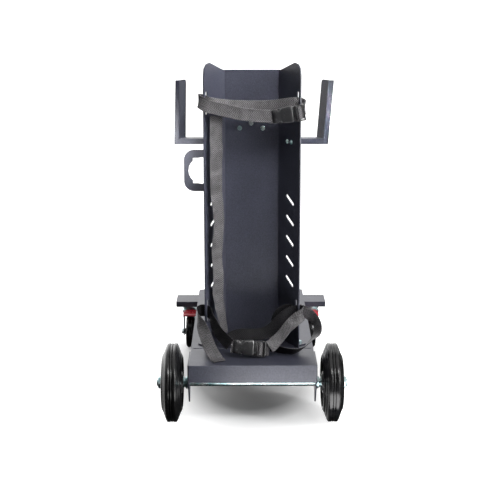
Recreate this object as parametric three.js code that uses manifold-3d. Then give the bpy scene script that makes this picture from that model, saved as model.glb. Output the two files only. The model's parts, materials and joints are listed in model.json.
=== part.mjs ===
// Oxy acetylene torch cart: a folded-sheet trolley with a bottle bay at the back.
// Millimetres, +Z up, X to the right and Y forwards, seen from the bottle bay behind the cart.
// The origin is on the floor, under the middle of the whole cart.
import * as THREE from "three";
import { mergeVertices } from "three/addons/utils/BufferGeometryUtils.js";
import Module from "manifold-3d";

const wasm = await Module();
wasm.setup();

// ---- driving dimensions ----
const GAP = 0.3; // between pieces that touch
const BOLT_HOLE = 4.5; // radius, for the handle's and the feet's bolts
const HOOK_BOLT_HOLE = 3.5;
const SHEET = 3; // folded sheet thickness
const DECK_Z = 170; // top of the platform and of the chassis
const DECK_HALF = 160;
const FLANGE_Z = 145; // lower edge of the deck's side flanges
const PLATFORM_Y = [-347.5, -216];
const SEAM_HALF = 154; // the open seam in front of the platform ends here
const APRON_Z = 125; // lower edge of the platform's face
const CHASSIS_Y = [-212, 352];
const RAIL = { x: 150, z: 130 }; // inner rails that carry the platform: side and lower edge
const CROSSBAR = { half: 230, y: [300, 377.5], z: [128, 145] };

const COLUMN_TOP = 888;
const EAR_TOP = 911;
const BACK_HALF = 69.6;
const BACK_Y = -117.5; // face of the back panel, towards the bottles
const WALL_LENGTH = 111;
const FLARE = THREE.MathUtils.degToRad(27.3);

const AXLE = { y: -277.5, z: 100, radius: 9.5, half: 245 };
const REAR_WHEEL = { x: 205, radius: 100, half: 27 };
const CASTER = { x: 185, pivotY: 337, trail: 35, radius: 50, half: 14 };
const WEBBING = { width: 32, thickness: 1.6 };
const STRAP_SLOTS = { s: 98, width: 8, z: [[781, 841], [240, 300]] };

// ---- materials ----
const finish = (color, roughness, metalness) =>
  new THREE.MeshStandardMaterial({ color, roughness, metalness });
const POWDER_COAT = finish(0x3d3f49, 0.55, 0.1);
const ZINC = finish(0xb9c2c4, 0.3, 0.9);
const BLACK_STEEL = finish(0x17181a, 0.45, 0.7);
const RUBBER = finish(0x141416, 0.5, 0);
const GREY_HUB = finish(0x55585c, 0.5, 0.1);
const RED_PAINT = finish(0xb01c28, 0.4, 0);
const WEAVE = finish(0x2b2b2d, 0.9, 0);
const BUCKLE_PLASTIC = finish(0x101012, 0.35, 0);

// ---- solids: three.js shapes in, manifold cuts and joins ----
function solid(geometry) {
  const bare = geometry.clone();
  bare.deleteAttribute("normal");
  bare.deleteAttribute("uv");
  const merged = mergeVertices(bare, 1e-4);
  const made = new wasm.Manifold(new wasm.Mesh({
    numProp: 3,
    vertProperties: new Float32Array(merged.attributes.position.array),
    triVerts: new Uint32Array(merged.index.array),
  }));
  if (made.volume() >= 0) return made;
  return new wasm.Manifold(new wasm.Mesh({
    numProp: 3,
    vertProperties: new Float32Array(merged.attributes.position.array),
    triVerts: new Uint32Array(merged.index.array).reverse(),
  }));
}

function geometryOf(manifold) {
  const mesh = manifold.getMesh();
  const geometry = new THREE.BufferGeometry();
  geometry.setAttribute("position", new THREE.BufferAttribute(mesh.vertProperties, 3));
  geometry.setIndex(new THREE.BufferAttribute(mesh.triVerts, 1));
  geometry.computeVertexNormals();
  return geometry;
}

const union = (first, ...rest) => rest.reduce((whole, part) => whole.add(part), first);
const cut = (first, ...rest) => rest.reduce((whole, part) => whole.subtract(part), first);

// A block between two corners.
function block([x0, x1], [y0, y1], [z0, z1]) {
  const shape = new THREE.BoxGeometry(x1 - x0, y1 - y0, z1 - z0);
  return solid(shape.translate((x0 + x1) / 2, (y0 + y1) / 2, (z0 + z1) / 2));
}

// Moves a solid by a matrix.
function moved(manifold, matrix) {
  return solid(geometryOf(manifold).applyMatrix4(matrix));
}

// A flat outline, given as [u, v] corners or a THREE.Shape, of the given thickness along +w.
// The frame's columns are the u, v and w directions, and its origin is where u = v = w = 0.
function plate(outline, thickness, frame, curveSegments = 3) {
  const shape = Array.isArray(outline)
    ? new THREE.Shape(outline.map(([u, v]) => new THREE.Vector2(u, v)))
    : outline;
  const extruded = new THREE.ExtrudeGeometry(shape, {
    depth: thickness, bevelEnabled: false, curveSegments,
  });
  return solid(extruded.applyMatrix4(frame));
}

// A frame from an origin and the directions of u and v.
function frameOf(origin, u, v) {
  const across = new THREE.Vector3(...u);
  const up = new THREE.Vector3(...v);
  const out = new THREE.Vector3().crossVectors(across, up);
  return new THREE.Matrix4().makeBasis(across, up, out).setPosition(...origin);
}

// A rectangle with its corners rounded, as an outline in u and v.
function roundedRectangle(u0, u1, v0, v1, radius) {
  const shape = new THREE.Shape();
  shape.moveTo(u0 + radius, v0);
  shape.lineTo(u1 - radius, v0);
  shape.absarc(u1 - radius, v0 + radius, radius, -Math.PI / 2, 0);
  shape.lineTo(u1, v1 - radius);
  shape.absarc(u1 - radius, v1 - radius, radius, 0, Math.PI / 2);
  shape.lineTo(u0 + radius, v1);
  shape.absarc(u0 + radius, v1 - radius, radius, Math.PI / 2, Math.PI);
  shape.lineTo(u0, v0 + radius);
  shape.absarc(u0 + radius, v0 + radius, radius, Math.PI, 1.5 * Math.PI);
  return shape;
}

// A turned solid on the X axis: profile rows are [radius, x].
function turned(profile, segments = 24) {
  const points = profile.map(([radius, x]) => new THREE.Vector2(radius, x));
  return solid(new THREE.LatheGeometry(points, segments).rotateZ(-Math.PI / 2));
}

// The same on the Z axis, with profile rows [radius, z].
function turnedUp(profile, segments = 24) {
  const points = profile.map(([radius, z]) => new THREE.Vector2(radius, z));
  return solid(new THREE.LatheGeometry(points, segments).rotateX(Math.PI / 2));
}

const rod = (radius, x0, x1, segments = 16) =>
  turned([[0, x0], [radius, x0], [radius, x1], [0, x1]], segments);
const post = (radius, z0, z1, segments = 16) =>
  turnedUp([[0, z0], [radius, z0], [radius, z1], [0, z1]], segments);

const at = (x, y, z) => new THREE.Matrix4().makeTranslation(x, y, z);

// ---- the cart as a scene ----
const cart = new THREE.Group();

function piece(group, name, shape, material, x = 0, y = 0, z = 0) {
  const mesh = new THREE.Mesh(geometryOf(shape), material);
  mesh.name = name;
  mesh.position.set(x, y, z);
  group.add(mesh);
  return mesh;
}

const SIDES = [["left", -1], ["right", 1]];

// ---- platform, chassis and crossbar ----
function platformSolid() {
  const [back, front] = PLATFORM_Y;
  const deck = block([-DECK_HALF, DECK_HALF], [back, front], [DECK_Z - SHEET, DECK_Z]);
  const tabs = SIDES.map(([, side]) => {
    const edges = [side * DECK_HALF, side * SEAM_HALF].sort((a, b) => a - b);
    return block(edges, [front - 1, CHASSIS_Y[0] - GAP], [DECK_Z - SHEET, DECK_Z]);
  });
  const apron = block([-DECK_HALF, DECK_HALF], [back, back + SHEET], [APRON_Z, DECK_Z]);
  const flanges = SIDES.map(([, side]) => {
    const edges = [side * DECK_HALF, side * (DECK_HALF - SHEET)].sort((a, b) => a - b);
    return block(edges, [back, front], [FLANGE_Z, DECK_Z]);
  });
  return union(deck, apron, ...tabs, ...flanges);
}

function chassisSolid() {
  const [back, front] = CHASSIS_Y;
  const parts = [block([-DECK_HALF, DECK_HALF], [back, front], [DECK_Z - SHEET, DECK_Z])];
  for (const [, side] of SIDES) {
    const edges = [side * DECK_HALF, side * (DECK_HALF - SHEET)].sort((a, b) => a - b);
    parts.push(block(edges, [back, front], [FLANGE_Z + GAP, DECK_Z]));
    const rail = [side * RAIL.x, side * (RAIL.x - SHEET)].sort((a, b) => a - b);
    const railBack = PLATFORM_Y[0] + SHEET + 1;
    parts.push(block(rail, [railBack, CROSSBAR.y[0] - GAP], [RAIL.z, DECK_Z - SHEET - GAP]));
    parts.push(block(rail, [back, CROSSBAR.y[0] - GAP], [DECK_Z - 2 * SHEET, DECK_Z - 1]));
  }
  parts.push(block([-DECK_HALF, DECK_HALF], [front - SHEET, front], [FLANGE_Z + GAP, DECK_Z]));
  const holes = SIDES.map(([, side]) =>
    moved(post(BOLT_HOLE, DECK_Z - 10, DECK_Z + 5), at(side * FOOT_BOLT.x, FOOT_BOLT.y, 0)));
  return cut(union(...parts), ...holes);
}

function crossbarSolid() {
  const { half, y: [near, far], z: [low, high] } = CROSSBAR;
  const web = block([-half, half], [near, far], [high - SHEET, high]);
  const lips = block([-half, half], [near, near + SHEET], [low, high])
    .add(block([-half, half], [far - SHEET, far], [low, high]));
  return union(web, lips);
}

// ---- column: back panel, two flared walls with ears, and outward feet ----
const wallDirection = (side) => [side * Math.sin(FLARE), -Math.cos(FLARE), 0];
// The wall's outer side, square to its direction.
const wallNormal = (side) => [side * Math.cos(FLARE), Math.sin(FLARE), 0];

// A point on the wall: s along it from the fold, out from its inner face, and height.
function onWall(side, s, out, z) {
  const [ux, uy] = wallDirection(side);
  const [nx, ny] = wallNormal(side);
  return [side * BACK_HALF + ux * s + nx * out, BACK_Y + uy * s + ny * out, z];
}

// A plate parallel to the wall between two distances from its inner face, drawn in s and z.
// The frame's w direction points inwards on the right wall and outwards on the left one.
function wallPlate(outline, side, inner, outer) {
  const origin = onWall(side, 0, side > 0 ? outer : inner, 0);
  return plate(outline, outer - inner, frameOf(origin, wallDirection(side), [0, 0, 1]));
}

const SLANTED_SLOTS = { s: [45, 76], drop: 17, width: 9.5, top: 557, pitch: 54.1, count: 5 };
const EAR = { rise: 8, peak: 80, shoulder: 880 };
const HOOK_BOLTS_S = [47, 67];
const HOOK_BOLT_Z = 708;
const FOOT = { s: [46, 100], width: 34 };
const [footBoltX, footBoltY] = onWall(1, 78, 21, 0);
const FOOT_BOLT = { x: footBoltX, y: footBoltY };
const HANDLE_BOLTS = [[-2, 750], [-32, 737], [28, 737]];

function wallOutline() {
  const shape = new THREE.Shape();
  shape.moveTo(0, DECK_Z + GAP);
  shape.lineTo(WALL_LENGTH, DECK_Z + GAP);
  shape.lineTo(WALL_LENGTH, EAR.shoulder);
  shape.bezierCurveTo(
    WALL_LENGTH, EAR_TOP - 10, WALL_LENGTH - 10, EAR_TOP, EAR.peak, EAR_TOP);
  shape.lineTo(EAR.rise, COLUMN_TOP);
  shape.lineTo(0, COLUMN_TOP);
  return shape;
}

// A slot with round ends between two points of the wall.
function slotOutline([s0, z0], [s1, z1], width) {
  const along = Math.atan2(z1 - z0, s1 - s0);
  const shape = new THREE.Shape();
  shape.absarc(s1, z1, width / 2, along - Math.PI / 2, along + Math.PI / 2);
  shape.absarc(s0, z0, width / 2, along + Math.PI / 2, along + 1.5 * Math.PI);
  return shape;
}

function wallCuts(side) {
  const outlines = [];
  for (let i = 0; i < SLANTED_SLOTS.count; i += 1) {
    const z = SLANTED_SLOTS.top - i * SLANTED_SLOTS.pitch;
    const { s: [s0, s1], drop, width } = SLANTED_SLOTS;
    outlines.push(slotOutline([s0, z + drop / 2], [s1, z - drop / 2], width));
  }
  const { s: slotS, width: slotWidth } = STRAP_SLOTS;
  for (const [low, high] of STRAP_SLOTS.z)
    outlines.push(slotOutline([slotS, low + slotWidth / 2], [slotS, high - slotWidth / 2], slotWidth));
  for (const s of HOOK_BOLTS_S)
    outlines.push(new THREE.Shape().absarc(s, HOOK_BOLT_Z, HOOK_BOLT_HOLE, 0, 2 * Math.PI));
  return outlines.map((outline) => wallPlate(outline, side, -4, SHEET + 4));
}

function columnSolid() {
  const fold = SHEET * Math.tan(FLARE / 2);
  const panel = block([-BACK_HALF - fold, BACK_HALF + fold], [BACK_Y, BACK_Y + SHEET],
    [DECK_Z + GAP, COLUMN_TOP]);
  const parts = [panel];
  for (const [, side] of SIDES) {
    const wall = wallPlate(wallOutline(), side, 0, SHEET);
    parts.push(cut(wall, ...wallCuts(side)));
    const foot = [
      onWall(side, FOOT.s[0], 1, 0), onWall(side, FOOT.s[1], 1, 0),
      onWall(side, FOOT.s[1] - 8, FOOT.width, 0), onWall(side, FOOT.s[0] + 8, FOOT.width, 0),
    ].map(([x, y]) => [x, y]);
    const tab = plate(foot, SHEET, at(0, 0, DECK_Z + GAP));
    parts.push(tab);
  }
  const holes = SIDES.map(([, side]) =>
    moved(post(BOLT_HOLE, DECK_Z - 2, DECK_Z + 8), at(side * FOOT_BOLT.x, FOOT_BOLT.y, 0)));
  for (const [x, z] of HANDLE_BOLTS)
    holes.push(moved(boltAlongY(BOLT_HOLE, BACK_Y - 2, BACK_Y + 8), at(x, 0, z)));
  return cut(union(...parts), ...holes);
}

// A plain round bar along Y between two heights of Y.
function boltAlongY(radius, y0, y1) {
  return moved(post(radius, y0, y1, 12), new THREE.Matrix4().makeRotationX(-Math.PI / 2));
}

// ---- fasteners: a domed head, a shank and a hexagon nut, standing on +Z from the clamped face ----
function boltSolid(shank, head, grip, nut) {
  const dome = turnedUp([[0, GAP], [head, GAP], [head * 0.7, 3.4], [0, 4.2]], 10);
  const stem = post(shank, -grip - nut * 1.4, GAP + 1, 6);
  const hexagon = post(nut, -grip - nut - GAP, -grip - GAP, 6);
  return union(dome, stem, hexagon);
}

// Turns a solid's +Z to the given direction and puts its origin at a point.
function facing(shape, direction, point) {
  const turn = new THREE.Quaternion().setFromUnitVectors(
    new THREE.Vector3(0, 0, 1), new THREE.Vector3(...direction));
  const matrix = new THREE.Matrix4().makeRotationFromQuaternion(turn);
  return moved(shape, matrix.setPosition(...point));
}

// ---- cable hooks: a wall plate, an arm and an upright, with a stiffening flange outside them ----
// Distances are from the middle of the cart; the uprights lean, each to the same side.
const HOOK = { y: [-175, -145], armZ: [703, 717.5], top: 866, corner: 8, plateZ: [692, 722] };
const HOOK_UPRIGHT = {
  left: { inner: [186, 183.3], outer: [198.4, 193.6] },
  right: { inner: [181.9, 192.8], outer: [194.1, 206.9] },
};

function hookSolid(name, side) {
  const { y: [near, far], armZ: [low, high], top, corner } = HOOK;
  const { inner, outer } = HOOK_UPRIGHT[name];
  const wallX = onWall(1, WALL_LENGTH / 2, 0, 0)[0];
  const step = 0.4; // the flange's edge stands back from the faces of the arm and the upright
  const flange = plate([
    [side * wallX, low], [side * outer[0], low], [side * outer[1], top - step],
    [side * (inner[1] + step), top - step], [side * (inner[0] + step), high - step],
    [side * wallX, high - step],
  ], SHEET, frameOf([0, near + SHEET, 0], [1, 0, 0], [0, 0, 1]));
  const skew = (far - near) * Math.tan(FLARE);
  const arm = plate([
    [side * wallX, near + step], [side * (inner[0] + 1), near + step],
    [side * (inner[0] + 1 - skew), far], [side * (wallX - skew), far],
  ], SHEET, at(0, 0, high - SHEET));
  // The upright's web is parallel to the wall, with its far top corner rounded.
  const depth = (far - near) / Math.cos(FLARE);
  const height = top - high + SHEET + step;
  const web = new THREE.Shape();
  web.moveTo(0, 0);
  web.lineTo(depth, 0);
  web.lineTo(depth, height - corner);
  web.absarc(depth - corner, height - corner, corner, 0, Math.PI / 2);
  web.lineTo(0, height);
  const lean = side * (inner[1] - inner[0]) / (top - high);
  const start = [
    side * (inner[0] + (side < 0 ? SHEET * Math.cos(FLARE) : 0)), near + step, high - SHEET - step,
  ];
  const along = wallDirection(side).map((c) => -c);
  const upright = plate(web, SHEET, frameOf(start, along, [lean, 0, 1]));
  const base = wallPlate(
    roundedRectangle(HOOK_BOLTS_S[0] - 14, HOOK_BOLTS_S[1] + 14, ...HOOK.plateZ, 5),
    side, SHEET + GAP, 2 * SHEET + GAP);
  const inside = wallPlate([
    [-40, 600], [WALL_LENGTH + 60, 600], [WALL_LENGTH + 60, 900], [-40, 900],
  ], side, -120, SHEET + GAP);
  const nutRooms = HOOK_BOLTS_S.map((s) =>
    wallPlate(new THREE.Shape().absarc(s, HOOK_BOLT_Z, 7.2, 0, 2 * Math.PI), side, 0, 20));
  const holes = HOOK_BOLTS_S.map((s) =>
    wallPlate(new THREE.Shape().absarc(s, HOOK_BOLT_Z, HOOK_BOLT_HOLE, 0, 2 * Math.PI),
      side, -4, SHEET + 8));
  const arms = cut(union(flange, arm, upright), inside, ...nutRooms);
  return cut(union(arms, base), ...holes);
}

// ---- torch holder: a flat plate with an open C, welded to the left wall by its tab ----
const TORCH = {
  z: [580, 688], outer: -175, y: -167, radius: 26,
  hole: { x: -129, z: 634, radius: 34.5, neck: 33, from: -152 },
};

function torchHolderSolid() {
  const [low, high] = TORCH.z;
  const inner = -100;
  const r = TORCH.radius;
  const shape = new THREE.Shape();
  shape.moveTo(inner, low);
  shape.lineTo(inner, high);
  shape.lineTo(TORCH.outer + r, high);
  shape.absarc(TORCH.outer + r, high - r, r, Math.PI / 2, Math.PI);
  shape.lineTo(TORCH.outer, low + r);
  shape.absarc(TORCH.outer + r, low + r, r, Math.PI, 1.5 * Math.PI);
  const frame = frameOf([0, TORCH.y, 0], [1, 0, 0], [0, 0, 1]);
  const sheet = plate(shape, SHEET, frame);
  const { x, z, radius, neck, from } = TORCH.hole;
  const wide = frameOf([0, TORCH.y + 5, 0], [1, 0, 0], [0, 0, 1]);
  const circle = plate(new THREE.Shape().absarc(x, z, radius, 0, 2 * Math.PI), SHEET + 10, wide, 12);
  const mouth = plate([[from, z - neck], [-80, z - neck], [-80, z + neck], [from, z + neck]],
    SHEET + 10, wide);
  const tab = wallPlate([[44, low], [72, low], [72, high], [44, high]],
    -1, SHEET + GAP, 2 * SHEET + GAP);
  const inside = wallPlate([
    [-40, 500], [WALL_LENGTH + 60, 500], [WALL_LENGTH + 60, 760], [-40, 760],
  ], -1, -80, SHEET + GAP);
  return union(cut(sheet, circle, mouth, inside), tab);
}

// ---- front pull handle: a plate on the front of the column with a round bar ----
const HANDLE = { half: 58, z: [722, 772], barHalf: 46, barZ: 747, bend: 12, reach: 48, barRadius: 8 };

function pullHandleSolid() {
  const { half, z: [low, high], barHalf, barZ, bend, reach, barRadius } = HANDLE;
  const front = BACK_Y + SHEET + GAP;
  const base = plate(roundedRectangle(-half, half, low, high, 8), SHEET,
    frameOf([0, front + SHEET, 0], [1, 0, 0], [0, 0, 1]));
  const route = new THREE.CurvePath();
  const point = (x, y) => new THREE.Vector3(x, front + y, barZ);
  const start = point(-barHalf, reach - bend);
  const left = point(bend - barHalf, reach);
  const right = point(barHalf - bend, reach);
  const end = point(barHalf, reach - bend);
  route.add(new THREE.LineCurve3(point(-barHalf, 1), start));
  route.add(new THREE.QuadraticBezierCurve3(start, point(-barHalf, reach), left));
  route.add(new THREE.LineCurve3(left, right));
  route.add(new THREE.QuadraticBezierCurve3(right, point(barHalf, reach), end));
  route.add(new THREE.LineCurve3(end, point(barHalf, 1)));
  const section = new THREE.Shape().absarc(0, 0, barRadius, 0, 2 * Math.PI);
  const bar = new THREE.ExtrudeGeometry(section, {
    steps: 16, extrudePath: route, curveSegments: 4, bevelEnabled: false,
  });
  const holes = HANDLE_BOLTS.map(([x, z]) =>
    moved(boltAlongY(BOLT_HOLE, front - 4, front + 8), at(x, 0, z)));
  return cut(union(base, solid(bar)), ...holes);
}

// ---- rear axle ----
const BRACKET = { top: 145, tip: 48, half: 54, tipRadius: 9, thickness: 3.5 };

function bracketSolid(side) {
  const { top, tip, half, tipRadius } = BRACKET;
  const shape = new THREE.Shape();
  shape.moveTo(AXLE.y - half, top + 20);
  shape.lineTo(AXLE.y - half, top - 12);
  shape.lineTo(AXLE.y - tipRadius, tip + tipRadius);
  shape.absarc(AXLE.y, tip + tipRadius, tipRadius, Math.PI * 1.2, Math.PI * 1.8);
  shape.lineTo(AXLE.y + half, top - 12);
  shape.lineTo(AXLE.y + half, top + 20);
  shape.holes.push(new THREE.Path().absarc(AXLE.y, AXLE.z, AXLE.radius + 0.8, 0, 2 * Math.PI));
  const start = side > 0 ? DECK_HALF + GAP : -DECK_HALF - GAP - BRACKET.thickness;
  return plate(shape, BRACKET.thickness, frameOf([start, 0, 0], [0, 1, 0], [0, 0, 1]), 7);
}

// Two nuts and a washer that hold the axle to its bracket and space the wheel, one solid.
function collarSolid() {
  const start = DECK_HALF + 2 * GAP + BRACKET.thickness;
  const end = REAR_WHEEL.x - REAR_WHEEL.half - GAP;
  const bore = rod(AXLE.radius + 0.4, start - 5, end + 5);
  const shape = union(
    rod(17, start, start + 2.2, 12),
    rod(16.5, start + 1.6, start + 7.4, 6),
    rod(12, start + 7, end - 3, 12),
    rod(15.5, end - 4, end, 12),
  );
  return shape.subtract(bore);
}

function outerNutSolid() {
  const start = REAR_WHEEL.x + REAR_WHEEL.half + GAP;
  const bore = rod(AXLE.radius + 0.4, start - 5, start + 30);
  return union(rod(18, start, start + 2, 12), rod(16, start + 1.5, AXLE.half - 2.5, 6)).subtract(bore);
}

function buildRearAxle() {
  const axle = new THREE.Group();
  axle.position.set(0, AXLE.y, AXLE.z);
  cart.add(axle);
  piece(axle, "axle_rod", rod(AXLE.radius, -AXLE.half, AXLE.half, 14), ZINC);
  for (const [name, side] of SIDES) {
    piece(cart, `axle_bracket_${name}`, bracketSolid(side), POWDER_COAT);
    const half = new THREE.Group();
    half.rotation.z = side > 0 ? 0 : Math.PI;
    axle.add(half);
    piece(half, `axle_collar_${name}`, collarSolid(), ZINC);
    piece(half, `axle_nut_${name}`, outerNutSolid(), ZINC);
  }
}

// ---- rear wheels: solid rubber tyre, pressed rim and a hub sleeve ----
const TREAD_RADIUS = REAR_WHEEL.radius;
const TYRE_PROFILE = [
  [62, -21], [67, -26], [80, -19], [TREAD_RADIUS - 1.5, -12], [TREAD_RADIUS, -10],
  [TREAD_RADIUS, 10], [TREAD_RADIUS - 1.5, 12], [80, 19], [67, 26], [62, 21], [62, -21],
];
const RIM_PROFILE = [
  [23, -25], [27, -25], [31, -5], [52, -5], [57, -18], [61.2, -18], [61.2, 18],
  [57, 18], [50, -1], [31, -1], [27, 25], [23, 25], [23, -25],
];
const HUB_PROFILE = [
  [AXLE.radius + 0.5, -REAR_WHEEL.half], [22, -REAR_WHEEL.half], [22, REAR_WHEEL.half],
  [AXLE.radius + 0.5, REAR_WHEEL.half], [AXLE.radius + 0.5, -REAR_WHEEL.half],
];

function buildRearWheels() {
  for (const [name, side] of SIDES) {
    const wheel = new THREE.Group();
    wheel.position.set(side * REAR_WHEEL.x, AXLE.y, AXLE.z);
    cart.add(wheel);
    piece(wheel, `rear_tyre_${name}`, turned(TYRE_PROFILE, 32), RUBBER);
    piece(wheel, `rear_rim_${name}`, turned(RIM_PROFILE, 16), BLACK_STEEL);
    piece(wheel, `rear_hub_${name}`, turned(HUB_PROFILE, 14), GREY_HUB);
  }
}

// ---- swivel casters with a foot brake, each in a frame with its origin under the pivot ----
const CROWN_Z = [104, 108];
const FORK_X = [19.5, 22.5];
const WHEEL_Y = -CASTER.trail;
const PEDAL = { y: -36, z: 114, half: 18.5, tread: 22, pin: 3, wall: 2.5 };
const PEDAL_OUTLINE = [
  [-31, 109], [-31, 118.5], [-38, 119.5], [-49, 119.3], [-78, 117], [-82, 115], [-82, 110.5],
  [-60, 109.5], [-48, 107], [-44, 104.5], [-38, 105],
];
const TREAD_OUTLINE = [[-49, 109.5], [-49, 119.3], [-78, 117], [-82, 115], [-82, 110.5], [-60, 109.5]];
const PEDAL_HOLLOW = [[-52, 100], [-52, 116.3], [-77, 114.3], [-79.5, 112.5], [-79.5, 100]];

function casterPlateSolid() {
  const top = CROSSBAR.z[1] - SHEET - GAP;
  const shape = union(
    block([-38, 38], [-32, 32], [top - 4, top]),
    turnedUp([[0, 112.5], [23, 112.5], [26, 116], [26, 121], [22, top - 3], [0, top - 3]], 14),
  );
  return shape.subtract(post(6.5, 100, top + 5, 12));
}

const kingpinSolid = () =>
  union(post(6, 98, CROSSBAR.z[1] - SHEET - 1, 12), post(10, 98, CROWN_Z[0] - GAP, 12));

function forkSolid() {
  const crown = post(27, CROWN_Z[0], CROWN_Z[1], 16)
    .add(block([-FORK_X[1], FORK_X[1]], [-18, 12], CROWN_Z));
  const race = turnedUp([
    [0, CROWN_Z[1] - 1], [20, CROWN_Z[1] - 1], [22, CROWN_Z[1] + 4], [0, CROWN_Z[1] + 4],
  ], 12);
  const legs = SIDES.map(([, side]) => {
    const shape = new THREE.Shape();
    shape.moveTo(12, CROWN_Z[1]);
    shape.lineTo(11, 92);
    shape.lineTo(WHEEL_Y + 11, 43);
    shape.absarc(WHEEL_Y, CASTER.radius, 12, -0.5, Math.PI + 0.2, true);
    shape.lineTo(-45, 100);
    shape.lineTo(-45, CROWN_Z[1] + 11);
    shape.lineTo(-30, CROWN_Z[1] + 11);
    shape.lineTo(-18, CROWN_Z[1]);
    const start = side > 0 ? FORK_X[0] : -FORK_X[1];
    return plate(shape, SHEET, frameOf([start, 0, 0], [0, 1, 0], [0, 0, 1]));
  });
  const bore = post(6.5, CROWN_Z[0] - 5, CROWN_Z[1] + 10, 12);
  const axleBore = moved(rod(4.4, -40, 40, 12), at(0, WHEEL_Y, CASTER.radius));
  const pinBore = moved(rod(PEDAL.pin + 0.4, -40, 40, 10), at(0, PEDAL.y, PEDAL.z));
  return cut(union(crown, race, ...legs), bore, axleBore, pinBore);
}

// The pedal carries its own hinge pin, whose ends turn in the fork.
function pedalSolid() {
  const along = (x) => frameOf([x, 0, 0], [0, 1, 0], [0, 0, 1]);
  const body = plate(PEDAL_OUTLINE, 2 * PEDAL.half, along(-PEDAL.half))
    .add(plate(TREAD_OUTLINE, 2 * PEDAL.tread, along(-PEDAL.tread)));
  const hollowHalf = PEDAL.tread - PEDAL.wall;
  const hollow = plate(PEDAL_HOLLOW, 2 * hollowHalf, along(-hollowHalf));
  const pin = moved(rod(PEDAL.pin, -FORK_X[1] - 2, FORK_X[1] + 2, 10), at(0, PEDAL.y, PEDAL.z));
  return cut(body, hollow).add(pin);
}

const { radius: casterRadius, half: casterHalf } = CASTER;
const CASTER_TYRE = [
  [37, -13], [44, -casterHalf], [casterRadius, -8], [casterRadius, 8], [44, casterHalf], [37, 13],
  [37, -13],
];
const CASTER_HUB = [
  [4.4, -19], [9, -19], [10, -8], [30, -8], [36.2, -12], [36.2, 12], [30, 8], [10, 8], [9, 19],
  [4.4, 19], [4.4, -19],
];

function casterAxleSolid() {
  const outside = FORK_X[1] + GAP;
  return union(
    rod(4, -31, 31, 12), rod(8, outside, outside + 5.5, 6), rod(8, -outside - 5.5, -outside, 6));
}

function buildCasters() {
  for (const [name, side] of SIDES) {
    const caster = new THREE.Group();
    caster.position.set(side * CASTER.x, CASTER.pivotY, 0);
    cart.add(caster);
    piece(caster, `caster_plate_${name}`, casterPlateSolid(), ZINC);
    piece(caster, `caster_kingpin_${name}`, kingpinSolid(), ZINC);
    piece(caster, `caster_fork_${name}`, forkSolid(), ZINC);
    piece(caster, `brake_pedal_${name}`, pedalSolid(), RED_PAINT);
    const wheel = new THREE.Group();
    wheel.position.set(0, WHEEL_Y, CASTER.radius);
    caster.add(wheel);
    piece(wheel, `caster_tyre_${name}`, turned(CASTER_TYRE, 20), RUBBER);
    piece(wheel, `caster_hub_${name}`, turned(CASTER_HUB, 14), GREY_HUB);
    piece(wheel, `caster_axle_${name}`, casterAxleSolid(), ZINC);
  }
}

// ---- webbing: a strip swept along points with the direction of its width at each ----
const UP = [0, 0, 1];

// Rows are [x, y, z, width direction]; the strip passes through each point.
function ribbonSolid(rows, steps) {
  const centre = new THREE.CatmullRomCurve3(
    rows.map(([x, y, z]) => new THREE.Vector3(x, y, z)), false, "centripetal");
  const sides = new THREE.CatmullRomCurve3(
    rows.map(([, , , side]) => new THREE.Vector3(...side).normalize()), false, "catmullrom", 0.5);
  const half = WEBBING.width / 2;
  const thin = WEBBING.thickness / 2;
  const positions = [];
  for (let i = 0; i <= steps; i += 1) {
    const t = i / steps;
    const point = centre.getPoint(t);
    const tangent = centre.getTangent(t);
    const side = sides.getPoint(t);
    side.addScaledVector(tangent, -side.dot(tangent)).normalize();
    const out = new THREE.Vector3().crossVectors(tangent, side);
    for (const [a, b] of [[1, 1], [-1, 1], [-1, -1], [1, -1]])
      positions.push(...point.clone().addScaledVector(side, a * half).addScaledVector(out, b * thin));
  }
  const index = [];
  for (let i = 0; i < steps; i += 1)
    for (let k = 0; k < 4; k += 1) {
      const [a, b] = [4 * i + k, 4 * i + (k + 1) % 4];
      index.push(a, b, a + 4, b, b + 4, a + 4);
    }
  const end = 4 * steps;
  index.push(0, 2, 1, 0, 3, 2, end, end + 1, end + 2, end, end + 2, end + 3);
  const geometry = new THREE.BufferGeometry();
  geometry.setAttribute("position", new THREE.Float32BufferAttribute(positions, 3));
  geometry.setIndex(index);
  return solid(geometry);
}

// The upper strap runs from behind the ladder at the right round the wall, through its slot,
// across behind the bottle, out through the left slot, round that wall and back to the socket.
const UPPER_BAND = [
  [126, -221.6, 797.5, UP], [131, -218, 799.5, UP], [132, -211, 803, UP], [127.5, -204.7, 806.3, UP],
  [120.5, -201.4, 808.6, UP], [115.9, -203.9, 809.5, UP], [110.5, -206.8, 810, UP],
  [98, -206, 809.5, UP], [60, -196, 803, UP], [0, -190, 800, UP], [-60, -196, 803, UP],
  [-98, -206, 808.5, UP], [-110.5, -206.8, 811.5, UP], [-115.9, -203.9, 813.3, UP],
  [-120.5, -201.4, 815.2, UP], [-128, -203.5, 818, UP], [-133.5, -210, 819.5, UP],
  [-133, -219.5, 818, [0.06, 0, 1]], [-124.5, -226.5, 813, [0.2, 0, 0.97]],
  [-111, -229, 806, [0.28, 0, 0.96]], [-73, -230.5, 797, [0.2, 0, 1]],
  [-31, -231, 788, [0.12, 0, 1]], [12, -231, 782.5, [0.06, 0, 1]], [45, -231.5, 781, [-0.1, 0, 1]],
];

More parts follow.
